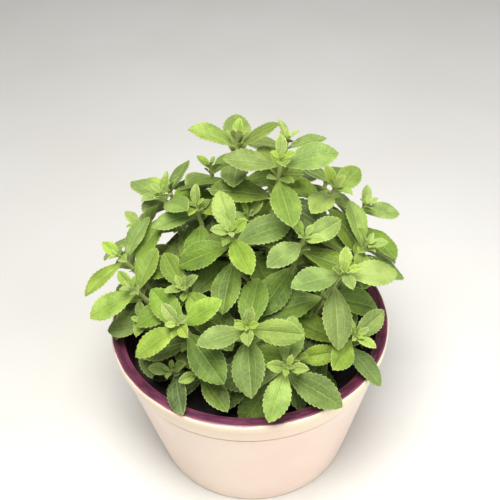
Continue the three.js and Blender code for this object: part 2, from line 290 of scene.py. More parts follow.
def make_material(name, colour):
    """A material with its Principled shader. The plain colour is for the viewport."""
    material = bpy.data.materials.new(name)
    material.use_nodes = True
    material.diffuse_color = colour
    return material, Tree(material.node_tree), material.node_tree.nodes["Principled BSDF"].inputs


def dress(tree, shader, colour, roughness, height, strength, depth):
    """Gives a shader its colour, its roughness and a bump of so much strength and depth."""
    bump = tree.add("ShaderNodeBump", {"Strength": strength, "Distance": depth, "Height": height})
    for label, value in (("Base Color", colour), ("Roughness", roughness), ("Normal", bump)):
        tree.fill(shader[label], value)


def srgb(red, green, blue):
    """A colour given as it is seen, 0 to 255, in the linear values that shaders work in."""
    parts = [c / 255 for c in (red, green, blue)]
    return tuple(p / 12.92 if p <= 0.04045 else ((p + 0.055) / 1.055) ** 2.4 for p in parts) + (1.0,)


print("middle grey in linear values:", round(srgb(128, 128, 128)[0], 3))

# %% [markdown]
# ## Effect: mottling
# No real surface has one even colour: glaze runs thick and thin, leaves are patchy, soil dries
# unevenly. One group gives them all a broad and a fine noise, as a mask and as a height for bumps.

# %% Group: mottling
MOTTLE_EDGES = (0.32, 0.68)


def build_mottling():
    sockets = {"Place": VECTOR, "Broad Scale": 20.0, "Fine Scale": 400.0, "Fine Share": 0.3}
    tree, given, out = make_group("mottling", sockets, {"Mask": FLOAT, "Height": FLOAT})
    broad = tree.noise(given["Place"], given["Broad Scale"], 2.0)
    fine = tree.noise(given["Place"], given["Fine Scale"], 4.0, 0.6)
    mixed = tree.between(given["Fine Share"], broad, fine)
    tree.fill(out["Mask"], tree.ramp(mixed, *MOTTLE_EDGES))
    tree.fill(out["Height"], fine)
    return tree.tree


def mottled(tree, place, broad, fine, share):
    """The mottling in a material, with its two scales and the share of the fine one."""
    sockets = {"Place": place, "Broad Scale": broad, "Fine Scale": fine, "Fine Share": share}
    return tree.group(mottling, sockets)


mottling = build_mottling()
print("group:", mottling.name)

# %% [markdown]
# ## Effect: soft line
# Glaze runs off an edge and pools in a groove, which shows as a thin line. On this pot the lines in the
# groove and under the lip also carry painted shade, and the one on the lip's inner edge a painted
# highlight. The same mask marks a groove, a lip, an edge and a tide mark: a soft band round one value
# of any measure, broken up by noise.

# %% Group: soft band
WANDER_SCALE = 45.0


def build_soft_band():
    sockets = {"Measure": 0.0, "Middle": 0.0, "Half Width": 0.001, "Waver": 0.0, "Place": VECTOR}
    tree, given, out = make_group("soft_band", sockets, {"Mask": FLOAT})
    wander = tree.round_zero(tree.noise(given["Place"], WANDER_SCALE), given["Waver"])
    away = tree.plus(tree.minus(given["Measure"], given["Middle"]), wander)
    share = tree.math("DIVIDE", tree.without_sign(away), given["Half Width"])
    tree.fill(out["Mask"], tree.ramp(share, 0.0, 1.0, 1.0, 0.0))
    return tree.tree


soft_band = build_soft_band()
print("group:", soft_band.name)

# %% [markdown]
# ## The pot
# The pot is thrown: all of it is one outline turned round the axis. The outline is the packed
# model's own, with each corner rounded by a short arc, because glaze never leaves a sharp edge.

# %% Pot outline
POT_HEIGHT = 146.0
RIM_RADIUS = 121.5
BODY_TOP_RADIUS = 115.5
FOOT_RADIUS = 89.0
COLLAR_FOOT_RADIUS = 116.5
COLLAR_FOOT = POT_HEIGHT - 23.0
GROOVE_HEIGHT = 2.0
GROOVE_DEPTH = 1.5
LIP_WIDTH = 11.0
LIP_FOOT = POT_HEIGHT - 9.0
LIP_STEP = 0.8
LIP_INSIDE = RIM_RADIUS - LIP_WIDTH
SOIL_LEVEL = 118.0
SOIL_EDGE_RADIUS = 105.0
FLOOR_RADIUS = 80.0
FLOOR_THICKNESS = 11.0
WALL_SLOPE = (SOIL_EDGE_RADIUS - FLOOR_RADIUS) / (SOIL_LEVEL - FLOOR_THICKNESS)

# Each corner of the outline, as radius and height, with the radius of its rounding.
POT_OUTLINE = [
    ((FOOT_RADIUS, 0), 2.0),
    ((BODY_TOP_RADIUS, COLLAR_FOOT - GROOVE_HEIGHT), 0.6),
    ((BODY_TOP_RADIUS - GROOVE_DEPTH, COLLAR_FOOT - GROOVE_HEIGHT / 2), 0.4),
    ((COLLAR_FOOT_RADIUS, COLLAR_FOOT), 0.8),
    ((RIM_RADIUS - LIP_STEP * 2, LIP_FOOT), 0.5),
    ((RIM_RADIUS - LIP_STEP, LIP_FOOT + LIP_STEP), 0.6),
    ((RIM_RADIUS, POT_HEIGHT), 3.4),
    ((LIP_INSIDE, POT_HEIGHT), 3.0),
    ((SOIL_EDGE_RADIUS, SOIL_LEVEL), 0.5),
    ((FLOOR_RADIUS, FLOOR_THICKNESS), 4.0),
]
CORNER_STEPS = 5
LONGEST_STEP = 9.0


def rounded(outline, start, end):
    """The outline's points, with an arc at each corner and plain stretches cut into short steps."""
    corners = [np.array(start)] + [np.array(c, float) for c, _ in outline] + [np.array(end)]
    points = [corners[0]]
    for (_, radius), before, at, after in zip(outline, corners, corners[1:], corners[2:]):
        room_before, room_after = np.linalg.norm(before - at), np.linalg.norm(after - at)
        back, on = (before - at) / room_before, (after - at) / room_after
        turn = math.acos(np.clip(back @ on, -1, 1)) / 2
        reach = min(radius / math.tan(turn), room_before / 2, room_after / 2)
        for step in range(CORNER_STEPS + 1):
            t = step / CORNER_STEPS
            points.append(at + back * reach * (1 - t) ** 2 + on * reach * t**2)
    points.append(corners[-1])
    fine = [points[0]]
    for a, b in zip(points, points[1:]):
        cuts = max(1, math.ceil(np.linalg.norm(b - a) / LONGEST_STEP))
        fine.extend(a + (b - a) * (k + 1) / cuts for k in range(cuts))
    return np.array(fine)


pot_line = rounded(POT_OUTLINE, (0.0, 0.0), (0.0, FLOOR_THICKNESS))
print("pot outline points:", len(pot_line))

# %% [markdown]
# ### Turning the pot
# Each point keeps how far it lies along the outline from the line where the cream outside meets the
# plum inside, and that one number colours the pot. A hand-thrown pot is never quite even, but its
# size is fixed, so the unevenness goes into the glaze: a shallow bump that breaks up highlights.

# %% Turn the pot
POT_SIDES = 200
COLOUR_LINE = (119.6, POT_HEIGHT - 0.5)


def turned(line, sides):
    """A closed surface of revolution from an outline that starts and ends on the axis."""
    angles = ring_angles(sides)
    inner = line[1:-1]
    points = np.empty((len(inner), sides, 3))
    points[:, :, :2] = inner[:, 0, None, None] * np.stack([np.cos(angles), np.sin(angles)], axis=-1)
    points[:, :, 2] = inner[:, 1, None]
    ends = [(0, 0, line[0, 1]), (0, 0, line[-1, 1])]
    return np.vstack([points.reshape(-1, 3), ends]), face_list(tube_faces(len(inner), sides))


def outline_run(line, mark):
    """How far each outline point lies along the outline beyond the point nearest the mark, in mm."""
    steps = np.linalg.norm(np.diff(line, axis=0), axis=1)
    run = np.concatenate([[0], np.cumsum(steps)])
    nearest = np.argmin(np.linalg.norm(line - np.array(mark), axis=1))
    return run - run[nearest]


def make_pot(material):
    points, faces = turned(pot_line, POT_SIDES)
    run = outline_run(pot_line, COLOUR_LINE)
    values = np.zeros((len(points), 3))
    values[:, 0] = np.concatenate([np.repeat(run[1:-1], POT_SIDES), run[[0, -1]]]) * MM
    return make_mesh("glazed_pot", points, faces, [material], values={"glaze_run": values})


print("run along the outline in mm:", outline_run(pot_line, COLOUR_LINE)[[0, -1]].round(1))

# %% [markdown]
# ### Lines in the glaze
# Glaze is thin, so browner, in the groove and under the lip, and these two lines also carry painted
# shade. On the lip's inner edge it is thin again, and paler there with a painted highlight, and a pale
# tide mark stands just over the soil. The inner edge is found by the run along the outline, and the
# other lines by height.

# %% Lines in the glaze
# Where each line's middle is, half its width, and how far it wavers, in mm.
GROOVE_LINE = (COLLAR_FOOT - 1.1, 1.6, 0.6)
LIP_LINE = (LIP_FOOT + 0.2, 1.1, 0.4)
INNER_EDGE_LINE = (8.8, 1.2, 0.6)
TIDE_LINE = (SOIL_LEVEL + 4.5, 6.0, 6.0)


def glaze_line(tree, place, measure, line):
    """A mask that is full where a measure in metres comes near the line's middle."""
    sizes = zip(("Middle", "Half Width", "Waver"), (part * MM for part in line))
    return tree.group(soft_band, {"Measure": measure, "Place": place, **dict(sizes)})["Mask"]


print("lines in the glaze:", [GROOVE_LINE, LIP_LINE, INNER_EDGE_LINE, TIDE_LINE])

# %% [markdown]
# ### Cream outside
# The cream is warm on the collar and a touch pinker on the body, with rosier patches where it ran
# thick. The clay looks through at the foot, where a potter wipes the glaze off.

# %% Cream outside
CREAM_COLLAR = srgb(246, 228, 198)
CREAM_BODY = srgb(246, 226, 208)
CREAM_THIN_AND_SHADED = srgb(176, 140, 118)
CREAM_SHADE = srgb(238, 204, 188)
BARE_CLAY = srgb(214, 190, 160)
# Heights in metres between which the body's cream turns into the collar's, and glaze into clay.
COLLAR_FADE = (0.119, 0.125)
FOOT_FADE = (0.0022, 0.0008)


def cream_colour(tree, place, height, patch):
    return tree.layers(
        CREAM_BODY,
        (CREAM_COLLAR, tree.ramp(height, *COLLAR_FADE), 1.0),
        (CREAM_SHADE, patch, 0.5),
        # Painted shade: the groove and the crease under the lip are darkened, on top of their browner
        # thin glaze.
        (CREAM_THIN_AND_SHADED, glaze_line(tree, place, height, GROOVE_LINE), 0.8),
        (CREAM_THIN_AND_SHADED, glaze_line(tree, place, height, LIP_LINE), 0.45),
        (BARE_CLAY, tree.ramp(height, *FOOT_FADE), 1.0),
    )


print("cream on the body in linear values:", [round(c, 2) for c in CREAM_BODY[:3]])

# %% [markdown]
# ### Plum inside
# The plum is redder and paler on the lip's edges, where it is thin and where a highlight is painted,
# and darker down the wall, which is painted shade inside the pot. On the lip it ran in streaks: noise
# looked up at places that change slowly round the pot and fast along the outline.

# %% Plum inside
PLUM_LIP = srgb(108, 45, 68)
PLUM_THIN_AND_HIGHLIT = srgb(146, 82, 112)
PLUM_POOLED = srgb(58, 24, 46)
PLUM_WALL_PAINTED_SHADE = srgb(38, 22, 34)
TIDE_MARK = srgb(104, 76, 70)
STREAK_SLOWED = (0.3, 0.3, 1.0)
STREAK_PITCH = 2.0
STREAK_SCALE = 260.0
STREAK_EDGES = (0.42, 0.58)
# Runs in metres beyond the colour line between which the lip edge's paler colour and painted highlight
# end, and the wall's painted shade begins.
THIN_AND_HIGHLIT_FADE = (0.0022, 0.0004)
WALL_SHADE_FADE = (0.0086, 0.0125)


def plum_colour(tree, place, height, run, patch):
    slowed = tree.add("ShaderNodeVectorMath", {0: place, 1: STREAK_SLOWED}, operation="MULTIPLY")
    along = tree.add("ShaderNodeCombineXYZ", {2: tree.times(run, STREAK_PITCH)})
    spot = tree.add("ShaderNodeVectorMath", {0: slowed, 1: along})
    streaks = tree.noise(spot, STREAK_SCALE, 3.0, 0.6)
    inner_edge = tree.times(glaze_line(tree, place, run, INNER_EDGE_LINE), 0.8)
    return tree.layers(
        PLUM_LIP,
        (PLUM_POOLED, tree.ramp(streaks, *STREAK_EDGES), 0.9),
        # Painted shade: the plum darkens down the inner wall, into the pot's shaded inside.
        (PLUM_WALL_PAINTED_SHADE, tree.ramp(run, *WALL_SHADE_FADE), 1.0),
        # Paler plum on the lip's edges: thinner glaze there, and a painted highlight on the rounded
        # edges.
        (PLUM_THIN_AND_HIGHLIT, tree.larger(tree.ramp(run, *THIN_AND_HIGHLIT_FADE), inner_edge), 0.6),
        (PLUM_THIN_AND_HIGHLIT, patch, 0.2),
        (TIDE_MARK, glaze_line(tree, place, height, TIDE_LINE), 0.35),
    )


print("streaks round the lip in mm:", round(1 / (MM * STREAK_SCALE * STREAK_SLOWED[0]), 1))

# %% [markdown]
# ### The glaze
# The two colours meet at a line that wanders a little, as dipped glazes do. Gloss comes from a low
# roughness that varies in patches and from an even clear coat. The wiped foot is dull.

# %% Glaze material
COLOUR_WANDER = 0.0016
COLOUR_EDGE = (-0.0004, 0.0005)
GLAZE_ROUGHNESS = (0.29, 0.4)
CLAY_ROUGHNESS = 0.85


def glaze_material():
    material, tree, shader = make_material("two_tone_glaze", CREAM_BODY)
    place = tree.place()
    height = tree.parts(place)[2]
    run = tree.parts(tree.read("glaze_run"))[0]
    patch = mottled(tree, place, 11.0, 60.0, 0.12)["Mask"]
    wander = tree.round_zero(tree.noise(place, 60.0), COLOUR_WANDER)
    inside = tree.ramp(tree.plus(run, wander), *COLOUR_EDGE)
    cream = cream_colour(tree, place, height, patch)
    plum = plum_colour(tree, place, height, run, patch)
    gloss = tree.between(patch, *GLAZE_ROUGHNESS)
    rough = tree.between(tree.ramp(height, *FOOT_FADE), gloss, CLAY_ROUGHNESS)
    dress(tree, shader, tree.mix(inside, cream, plum), rough, tree.noise(place, 16.0, 0.0), 0.3, 0.0008)
    shader["Coat Weight"].default_value = 0.25
    shader["Coat Roughness"].default_value = 0.22
    return material


pot = make_pot(glaze_material())
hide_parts("pot")
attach(pot, "root")
print("pot:", len(pot.data.vertices), "points,", len(pot.data.polygons), "faces")

# %% [markdown]
# ## The soil
# Potting soil is a low mound of crumbs. A fine disc is lifted by the mound's height and by three
# layers of noise. A skirt reaches down inside the pot, so that the soil is a closed body.

# %% Soil surface
SOIL_MOUND = 4.0
SOIL_SUNK = 0.6
SOIL_GAP = 0.3
SOIL_RINGS = 90
SOIL_SIDES = 240
SKIRT_RISE = 5.0
# Layers of unevenness: how high and how wide their lumps are in mm, and where the noise is cut.
CLODS = [(2.2, 17, 3.1), (1.3, 6, 7.7), (0.7, 2.3, 1.9)]


def mound(x, y):
    """The soil's height in mm, uneven but nowhere above the packed soil's own top."""
    share = np.minimum(np.hypot(x, y) / SOIL_EDGE_RADIUS, 1)
    even = SOIL_LEVEL + (1 - share**2) * SOIL_MOUND
    rough = np.array([
        sum(rise * noise.noise((a / width, b / width, cut)) for rise, width, cut in CLODS)
        for a, b in zip(x.ravel(), y.ravel())
    ]).reshape(x.shape)
    return even + rough * (1 - share**8) - SOIL_SUNK


def soil_disc():
    """A skirt low inside the pot, then rings from the wall to the middle."""
    low = FLOOR_THICKNESS + SKIRT_RISE
    skirt = FLOOR_RADIUS + WALL_SLOPE * SKIRT_RISE - 2 * SOIL_GAP
    radii = np.linspace(SOIL_EDGE_RADIUS - SOIL_GAP, 0, SOIL_RINGS + 1)
    radii = np.array([skirt, *radii[:-1]])[:, None]
    angles = ring_angles(SOIL_SIDES)
    x, y = radii * np.cos(angles), radii * np.sin(angles)
    z = mound(x, y)
    z[0] = low
    ends = [(0, 0, low), (0, 0, SOIL_LEVEL + SOIL_MOUND - SOIL_SUNK)]
    points = np.vstack([np.stack([x, y, z], axis=-1).reshape(-1, 3), ends])
    return points, face_list(tube_faces(SOIL_RINGS + 1, SOIL_SIDES))


print("points in the soil's disc:", SOIL_RINGS * SOIL_SIDES)

# %% [markdown]
# ### Crumbs
# Lumps half sunk in the surface read as soil far better than noise, because they cast shadows on
# each other. Each is a once-divided octahedron with its points pushed in and out. They are drawn
# from a fixed seed, so the soil is the same every time.

# %% Crumbs
CRUMBS = 1500
CRUMB_SIZES = (0.5, 1.9)
SMALL_CRUMBS_FAVOURED = 2.2
CRUMB_MARGIN = 3.0
CRUMB_RAISED = 0.3


def lump_shape():
    """A unit octahedron, divided once and pushed back onto the sphere."""
    corners = [(1, 0, 0), (0, 1, 0), (-1, 0, 0), (0, -1, 0), (0, 0, 1), (0, 0, -1)]
    faces = [(0, 1, 4), (1, 2, 4), (2, 3, 4), (3, 0, 4), (1, 0, 5), (2, 1, 5), (3, 2, 5), (0, 3, 5)]
    edges, divided = [], []
    for a, b, c in faces:
        own = [(min(pair), max(pair)) for pair in ((a, b), (b, c), (c, a))]
        edges += [edge for edge in own if edge not in edges]
        ab, bc, ca = (len(corners) + edges.index(edge) for edge in own)
        divided += [(a, ab, ca), (b, bc, ab), (c, ca, bc), (ab, bc, ca)]
    points = np.array(corners, float)
    middles = [points[a] + points[b] for a, b in edges]
    return np.vstack([points, unit(np.array(middles))]), np.array(divided)


def crumbs(draws):
    """Lumps scattered evenly over the mound, as points and faces."""
    shape, shape_faces = lump_shape()
    smallest, largest = CRUMB_SIZES
    points, faces = [], []
    for number in range(CRUMBS):
        size = smallest + (largest - smallest) * draws.random() ** SMALL_CRUMBS_FAVOURED
        radius = (SOIL_EDGE_RADIUS - CRUMB_MARGIN - size) * math.sqrt(draws.random())
        angle = draws.random() * 2 * math.pi
        x, y = radius * math.cos(angle), radius * math.sin(angle)
        stretch = draws.uniform(0.65, 1.35, 3) * size
        push = draws.uniform(0.8, 1.2, len(shape))[:, None]
        turn = draws.random() * 2 * math.pi
        lump = shape * push * stretch
        spun = lump.copy()
        spun[:, 0] = lump[:, 0] * math.cos(turn) - lump[:, 1] * math.sin(turn)
        spun[:, 1] = lump[:, 0] * math.sin(turn) + lump[:, 1] * math.cos(turn)
        centre = np.array([x, y, mound(np.array([x]), np.array([y]))[0] + CRUMB_RAISED * size])
        faces.append(shape_faces + number * len(shape))
        points.append(spun + centre)
    return np.vstack(points), np.vstack(faces)


print("points and faces of one crumb:", [len(part) for part in lump_shape()])

# %% [markdown]
# ### Soil material and body
# Moist soil is nearly black and dries to grey-brown in patches. It hardly shines at all, and a
# strong fine bump adds the grit between the crumbs.

# %% Soil
DARK_EARTH = srgb(34, 33, 38)
DRY_EARTH = srgb(78, 68, 62)
CRUMB_SEED = 5


def soil_material():
    material, tree, shader = make_material("potting_soil", DARK_EARTH)
    marks = mottled(tree, tree.place(), 55.0, 900.0, 0.45)
    colour = tree.layers(DARK_EARTH, (DRY_EARTH, marks["Mask"], 0.55))
    dress(tree, shader, colour, tree.between(marks["Mask"], 0.8, 1.0), marks["Height"], 0.8, 0.0012)
    shader["Specular IOR Level"].default_value = 0.2
    return material


def make_soil(material):
    disc, disc_faces = soil_disc()
    lumps, lump_faces = crumbs(np.random.default_rng(CRUMB_SEED))
    faces = disc_faces + (lump_faces + len(disc)).tolist()
    return make_mesh("crumbly_soil", np.vstack([disc, lumps]), faces, [material])


soil = make_soil(soil_material())
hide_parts("soil")
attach(soil, "root")
print("soil:", len(soil.data.vertices), "points, with", CRUMBS, "crumbs")

# %% [markdown]
# ## Where the shoots stand
# Stevia grows many stems from one root stock. A shoot is given by its tip, by the way its leaf pairs
# face and by its size. These are the packed model's own shoots, so that the fine ones grow exactly
# where the plain ones stand.

# %% Shoots
# Tip in mm, turn in degrees, size, and for one shoot how far its leaves are still closed, in degrees.
SHOOTS = [
    ((-5, 58, 293), -8, 1.0, 20),
    ((29, 10, 306), 0, 1.05),
    ((74, 31, 261), 50, 1.0),
    ((-69, 35, 257), 130, 1.0),
    ((-69, 80, 233), 70, 1.0),
    ((-41, 24, 252), 175, 0.95),
    ((2, 11, 251), 120, 0.95),
    ((-12, -27, 266), 105, 0.95),
    ((45, -23, 254), 50, 0.95),
    ((75, -46, 238), 10, 1.05),
    ((-52, -38, 219), 115, 0.9),
    ((-54, -76, 218), 25, 1.0),
    ((-2, -85, 220), -6, 1.0),
    ((28, -97, 187), 78, 1.0),
    ((84, -66, 186), 50, 0.95),
    ((-94, -24, 208), 30, 1.0),
    ((38, 90, 270), 20, 1.0),
    ((-30, 90, 244), 50, 0.95),
    ((98, -2, 227), 80, 1.0),
    ((103, 48, 228), 15, 1.0),
    ((74, 88, 228), 65, 0.95),
    ((-94, 54, 209), 35, 1.0),
    ((-42, -84, 170), 120, 0.95),
    ((-64, -75, 164), 75, 0.9),
    ((36, -78, 177), 0, 0.9),
    ((-88, -36, 181), 170, 0.95),
    ((-106, 6, 217), 35, 1.0),
]
print("shoots:", len(SHOOTS), "and the tallest tip in mm:", max(tip[2] for tip, *_ in SHOOTS))

# %% [markdown]
# ### A stem's curve
# Each stem leans out and then turns up to the light. Three points are enough for that: its foot, its
# tip, and one below the tip. The smooth curve through them is a quadratic Bezier. Tall shoots come
# from the middle of the root stock, and short ones from its edge.

# %% Stem curve
STRAIGHT_TO = 125.0
TALLEST = 306.0
ROOT_SPREAD_LOW = 0.72
ROOT_SPREAD_HIGH = 0.38
TIP_LEAN = 0.5
LIGHT_SIDE = -0.3
BEND_AT = 0.5
STEM_FOOT_RADIUS = 2.6
STEM_TIP_RADIUS = 1.7
PLAIN_STEM_STEPS = 5


class Stem:
    """The curve of one shoot's stem: a quadratic Bezier from its foot to its tip."""

    def __init__(self, tip, turn, size, closed=0):
        self.tip = np.array(tip, float)
        self.turn, self.size, self.closed = turn, size, closed
        grown = (self.tip[2] - STRAIGHT_TO) / (TALLEST - STRAIGHT_TO)
        spread = ROOT_SPREAD_LOW + (ROOT_SPREAD_HIGH - ROOT_SPREAD_LOW) * grown
        self.foot = np.array([tip[0] * spread, tip[1] * spread, STRAIGHT_TO])
        lean = TIP_LEAN / RIM_RADIUS
        up = np.array([tip[0] * lean, tip[1] * lean + LIGHT_SIDE, 1.0])
        up /= np.linalg.norm(up)
        self.bend = self.tip - up * (self.tip[2] - STRAIGHT_TO) * BEND_AT

    def point(self, t):
        return (1 - t) ** 2 * self.foot + 2 * (1 - t) * t * self.bend + t * t * self.tip

    def tangent(self, t, small=0.0001):
        """The direction between two close points, as the packed model's curves take it."""
        ahead = self.point(min(t + small, 1.0)) - self.point(max(t - small, 0.0))
        return ahead / np.linalg.norm(ahead)

    def middle(self, share):
        """A point in the middle of the plain stem, which runs straight from ring to ring."""
        step = min(math.floor(share * PLAIN_STEM_STEPS), PLAIN_STEM_STEPS - 1)
        below = self.point(step / PLAIN_STEM_STEPS)
        above = self.point((step + 1) / PLAIN_STEM_STEPS)
        return below + (above - below) * (share * PLAIN_STEM_STEPS - step)

    def station(self, below):
        """The share of the stem at which a leaf pair stands that is so far below the tip."""
        return 1 - below * self.size / (2 * np.linalg.norm(self.bend - self.tip))


def stem_radius(share):
    return STEM_FOOT_RADIUS + (STEM_TIP_RADIUS - STEM_FOOT_RADIUS) * share


stems = [Stem(*shoot) for shoot in SHOOTS]
print("stems:", len(stems))

# %% [markdown]
# ## Where the leaves sit
# Stevia's leaves stand in opposite pairs, each pair a quarter turn from the one above. The top pairs
# are small and half closed, lower ones larger and spread wide. A blade arches over as it leaves the
# stem, and is folded up on both sides of its midrib.

# %% Leaf ranks and shape
# Millimetres below the tip, length, and angle from the stem.
RANKS = [
    (3, 20, 42), (9, 41, 70), (23, 50, 86), (43, 54, 98), (65, 52, 106), (88, 48, 110), (112, 44, 112),
]
LEAF_WIDTH = 0.46
LEAF_FOLD = 0.26
LEAF_SAG = 0.2
STALK_HALF_WIDTH = 0.8
STALK_SUNK = 0.4
WEDGE = 1.2
TIP_BLUNTNESS = 0.88
PATCH_STATIONS = np.arange(1, 11) / 10
PATCH_ACROSS = np.array([-1, -0.5, 0, 0.5, 1])


def leaf_outline(share):
    """Half the blade's width as a share of its widest, along its length."""
    widest = WEDGE / (WEDGE + TIP_BLUNTNESS)
    full = widest**WEDGE * (1 - widest) ** TIP_BLUNTNESS
    return share**WEDGE * (1 - share) ** TIP_BLUNTNESS / full


class Blade:
    """Where one leaf lies: its base, its direction, its side and its upper face."""

    def __init__(self, stem, below, leaf, swing, lift, length):
        share = stem.station(below)
        axis = stem.tangent(share)
        bearing = math.radians(leaf["bearing"] + swing)
        out = np.array([math.cos(bearing), math.sin(bearing), 0.0])
        out = unit(out - axis * (out @ axis))
        pitch = math.radians(leaf["pitch"] + lift)
        side = np.cross(axis, out)
        self.ahead = axis * math.cos(pitch) + out * math.sin(pitch)
        face = np.cross(self.ahead, side)
        roll = math.radians(leaf["roll"])
        self.side = side * math.cos(roll) + face * math.sin(roll)
        self.face = np.cross(self.ahead, self.side)
        self.base = stem.middle(share) + out * stem_radius(share) * STALK_SUNK
        self.sag, self.length = leaf["sag"], length

    def facing(self, share):
        """Which way the upper face looks at each share of the length, as the blade arches over."""
        return unit(self.face + self.ahead * (2 * self.sag * np.asarray(share))[..., None])

    def half_width(self, share):
        return np.maximum(self.length * LEAF_WIDTH * leaf_outline(share) / 2, STALK_HALF_WIDTH)

    def midrib(self, share):
        share = np.asarray(share)[..., None]
        drop = self.face * self.length * self.sag * share**2
        return self.base + self.ahead * self.length * share - drop

    def patch(self):
        """Fifty points over the blade, which stand for it when leaves look for room."""
        share, across = np.meshgrid(PATCH_STATIONS, PATCH_ACROSS, indexing="ij")
        half = np.where(share < 1, self.half_width(share), 0.0)
        points = self.midrib(share) + self.side * (across * half)[..., None]
        points += self.facing(share) * (np.abs(across) * half * LEAF_FOLD)[..., None]
        return points.reshape(-1, 3)


print("leaf ranks:", len(RANKS), "and a blade is widest at", round(WEDGE / (WEDGE + TIP_BLUNTNESS), 2))

# %% [markdown]
# ### Room between leaves
# Each placed leaf leaves fifty points behind, with the ball that holds them. A new leaf first
# compares balls, which is quick, and measures point to point only where two balls come close. It
# also stays clear of the pot: over it, outside it, or inside it and above the soil.

# %% Room
CLEARANCE = 4.0
POT_CLEARANCE = 3.0
SOIL_CLEARANCE = 6.0


def clear_of_pot(points):
    z = points[:, 2]
    radius = np.hypot(points[:, 0], points[:, 1])
    wall = np.minimum(FLOOR_RADIUS + WALL_SLOPE * (z - FLOOR_THICKNESS), LIP_INSIDE)
    inside = (radius < wall - POT_CLEARANCE) & (z > SOIL_LEVEL + SOIL_CLEARANCE)
    return (z > POT_HEIGHT + POT_CLEARANCE) | (radius > RIM_RADIUS + POT_CLEARANCE) | inside


def ball(points):
    """The middle of some points, and the radius of the ball round it that holds them."""
    middle = points.mean(axis=0)
    return middle, np.linalg.norm(points - middle, axis=1).max()


class Room:
    """What already stands, as patches of points with an owner each."""

    def __init__(self):
        self.patches, self.owners, self.middles, self.reaches = [], [], [], []

    def stand(self, points, owner):
        middle, reach = ball(points)
        self.patches.append(points)
        self.owners.append(owner)
        self.middles.append(middle)
        self.reaches.append(reach)

    def is_clear(self, points, owner):
        if not clear_of_pot(points).all():
            return False
        middle, reach = ball(points)
        apart = np.linalg.norm(np.array(self.middles) - middle, axis=1)
        near = apart <= np.array(self.reaches) + reach + CLEARANCE
        near &= np.array(self.owners) != owner
        for index in np.flatnonzero(near):
            gaps = np.linalg.norm(points[:, None] - self.patches[index][None], axis=-1)
            if gaps.min() <= CLEARANCE:
                return False
        return True


print("least gap between leaves of two shoots in mm:", CLEARANCE)

# %% [markdown]
# ### Placing every leaf
# A leaf that would touch another shoot is swung aside, lifted or lowered, and at last grown shorter.
# The rule and its draws are the packed model's, run once more, so every fine leaf replaces a plain
# one in place. Two programs that should agree are worth comparing, so in the end each shoot's leaves
# are measured against its packed box.

# %% Leaf placement
SWINGS = (0, 14, -14, 28, -28)
LIFTS = (0, -12, 12, -24, 24)
SCALES = (1, 0.85, 0.7, 0.55)
LOWEST_NODE = 16.0
STEM_PATCHES = 8
PATCH_STEPS = 4
PLACING_SEED = 11


class Draws:
    """The packed model's run of random draws, which is a short formula with a fixed seed."""

    def __init__(self, seed):
        self.seed = seed

    def between(self, low, high):
        self.seed = (self.seed * 1664525 + 1013904223) % 4294967296
        return low + (high - low) * self.seed / 4294967296


def settle(room, stem, owner, rank, leaf):
    """The first way for a leaf to stand that touches nothing, or none."""
    below, length, _ = rank
    for scale in SCALES:
        full = length * stem.size * leaf["grown"] * scale
        for lift in LIFTS:
            for swing in SWINGS:
                blade = Blade(stem, below, leaf, swing, lift, full)
                points = blade.patch()
                if room.is_clear(points, owner):
                    room.stand(points, owner)
                    return blade
    return None


def stand_stems(room):
    """Puts each stem into the room as short runs of points."""
    steps = STEM_PATCHES * PATCH_STEPS
    for owner, stem in enumerate(stems):
        points = np.array([stem.point(k / steps) for k in range(steps + 1)])
        for first in range(0, steps, PATCH_STEPS):
            room.stand(points[first:first + PATCH_STEPS + 1], owner)


def place_leaves():
    """Every leaf, rank by rank from the tips down, as a list of (rank, blade) for each shoot."""
    room, draws = Room(), Draws(PLACING_SEED)
    stand_stems(room)
    grown = [[] for _ in stems]
    for number, rank in enumerate(RANKS):
        for owner, stem in enumerate(stems):
            for half in (0, 180):
                leaf = {
                    "bearing": stem.turn + (number + 1) * 90 + half + draws.between(-9, 9),
                    "pitch": rank[2] - stem.closed + draws.between(-7, 7),
                    "grown": draws.between(0.9, 1.06),
                    "roll": draws.between(-14, 14),
                    "sag": LEAF_SAG * draws.between(0.6, 1.3),
                }
                share = stem.station(rank[0])
                if share < 0 or stem.point(share)[2] < SOIL_LEVEL + LOWEST_NODE:
                    continue
                blade = settle(room, stem, owner, rank, leaf)
                if blade:
                    grown[owner].append((number, blade))
    return grown


def box_gap(number, own):
    """How far a shoot's leaves end from the sides of its packed box at most, in mm."""
    sides = np.array(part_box(f"leafy_stem_{number:02d}"))[:, :2] / MM
    spread = np.vstack([blade.patch() for _, blade in own])[:, :2]
    return np.abs(np.array([spread.min(0), spread.max(0)]) - sides).max()


leaves = place_leaves()
print("leaves on each shoot:", [len(own) for own in leaves], "in all", sum(map(len, leaves)))
largest = max(box_gap(number + 1, own) for number, own in enumerate(leaves))
print("largest difference from the packed shoots' boxes, mm:", round(largest, 2))

# %% [markdown]
# ## One leaf
# A stevia leaf is a thin closed skin: wedge-shaped at its stalk, widest past the middle, with small
# teeth that lean forward. Its grid has rows along the leaf, four to each tooth, and columns across
# it, gathered where the nerves run. The under side needs fewer columns, and a leaflet fewer of both.

# %% Leaf grid


class Grid:
    """How finely a leaf is cut: columns over and under, and rows before the first tooth."""

    def __init__(self, top, under, stalk_rows):
        mirrored = [np.array([-c for c in side[::-1]] + [0.0, *side]) for side in (top, under)]
        self.top, self.under = mirrored
        self.stalk_rows = stalk_rows


LEAF_GRID = Grid((0.08, 0.28, 0.46, 0.64, 0.84, 1.0), (0.12, 0.46, 0.74, 1.0), 8)
LEAFLET_GRID = Grid((0.2, 0.6, 1.0), (0.45, 1.0), 4)
TEETH_START = 0.3
TEETH_END = 0.965
LAST_ROW = 0.988
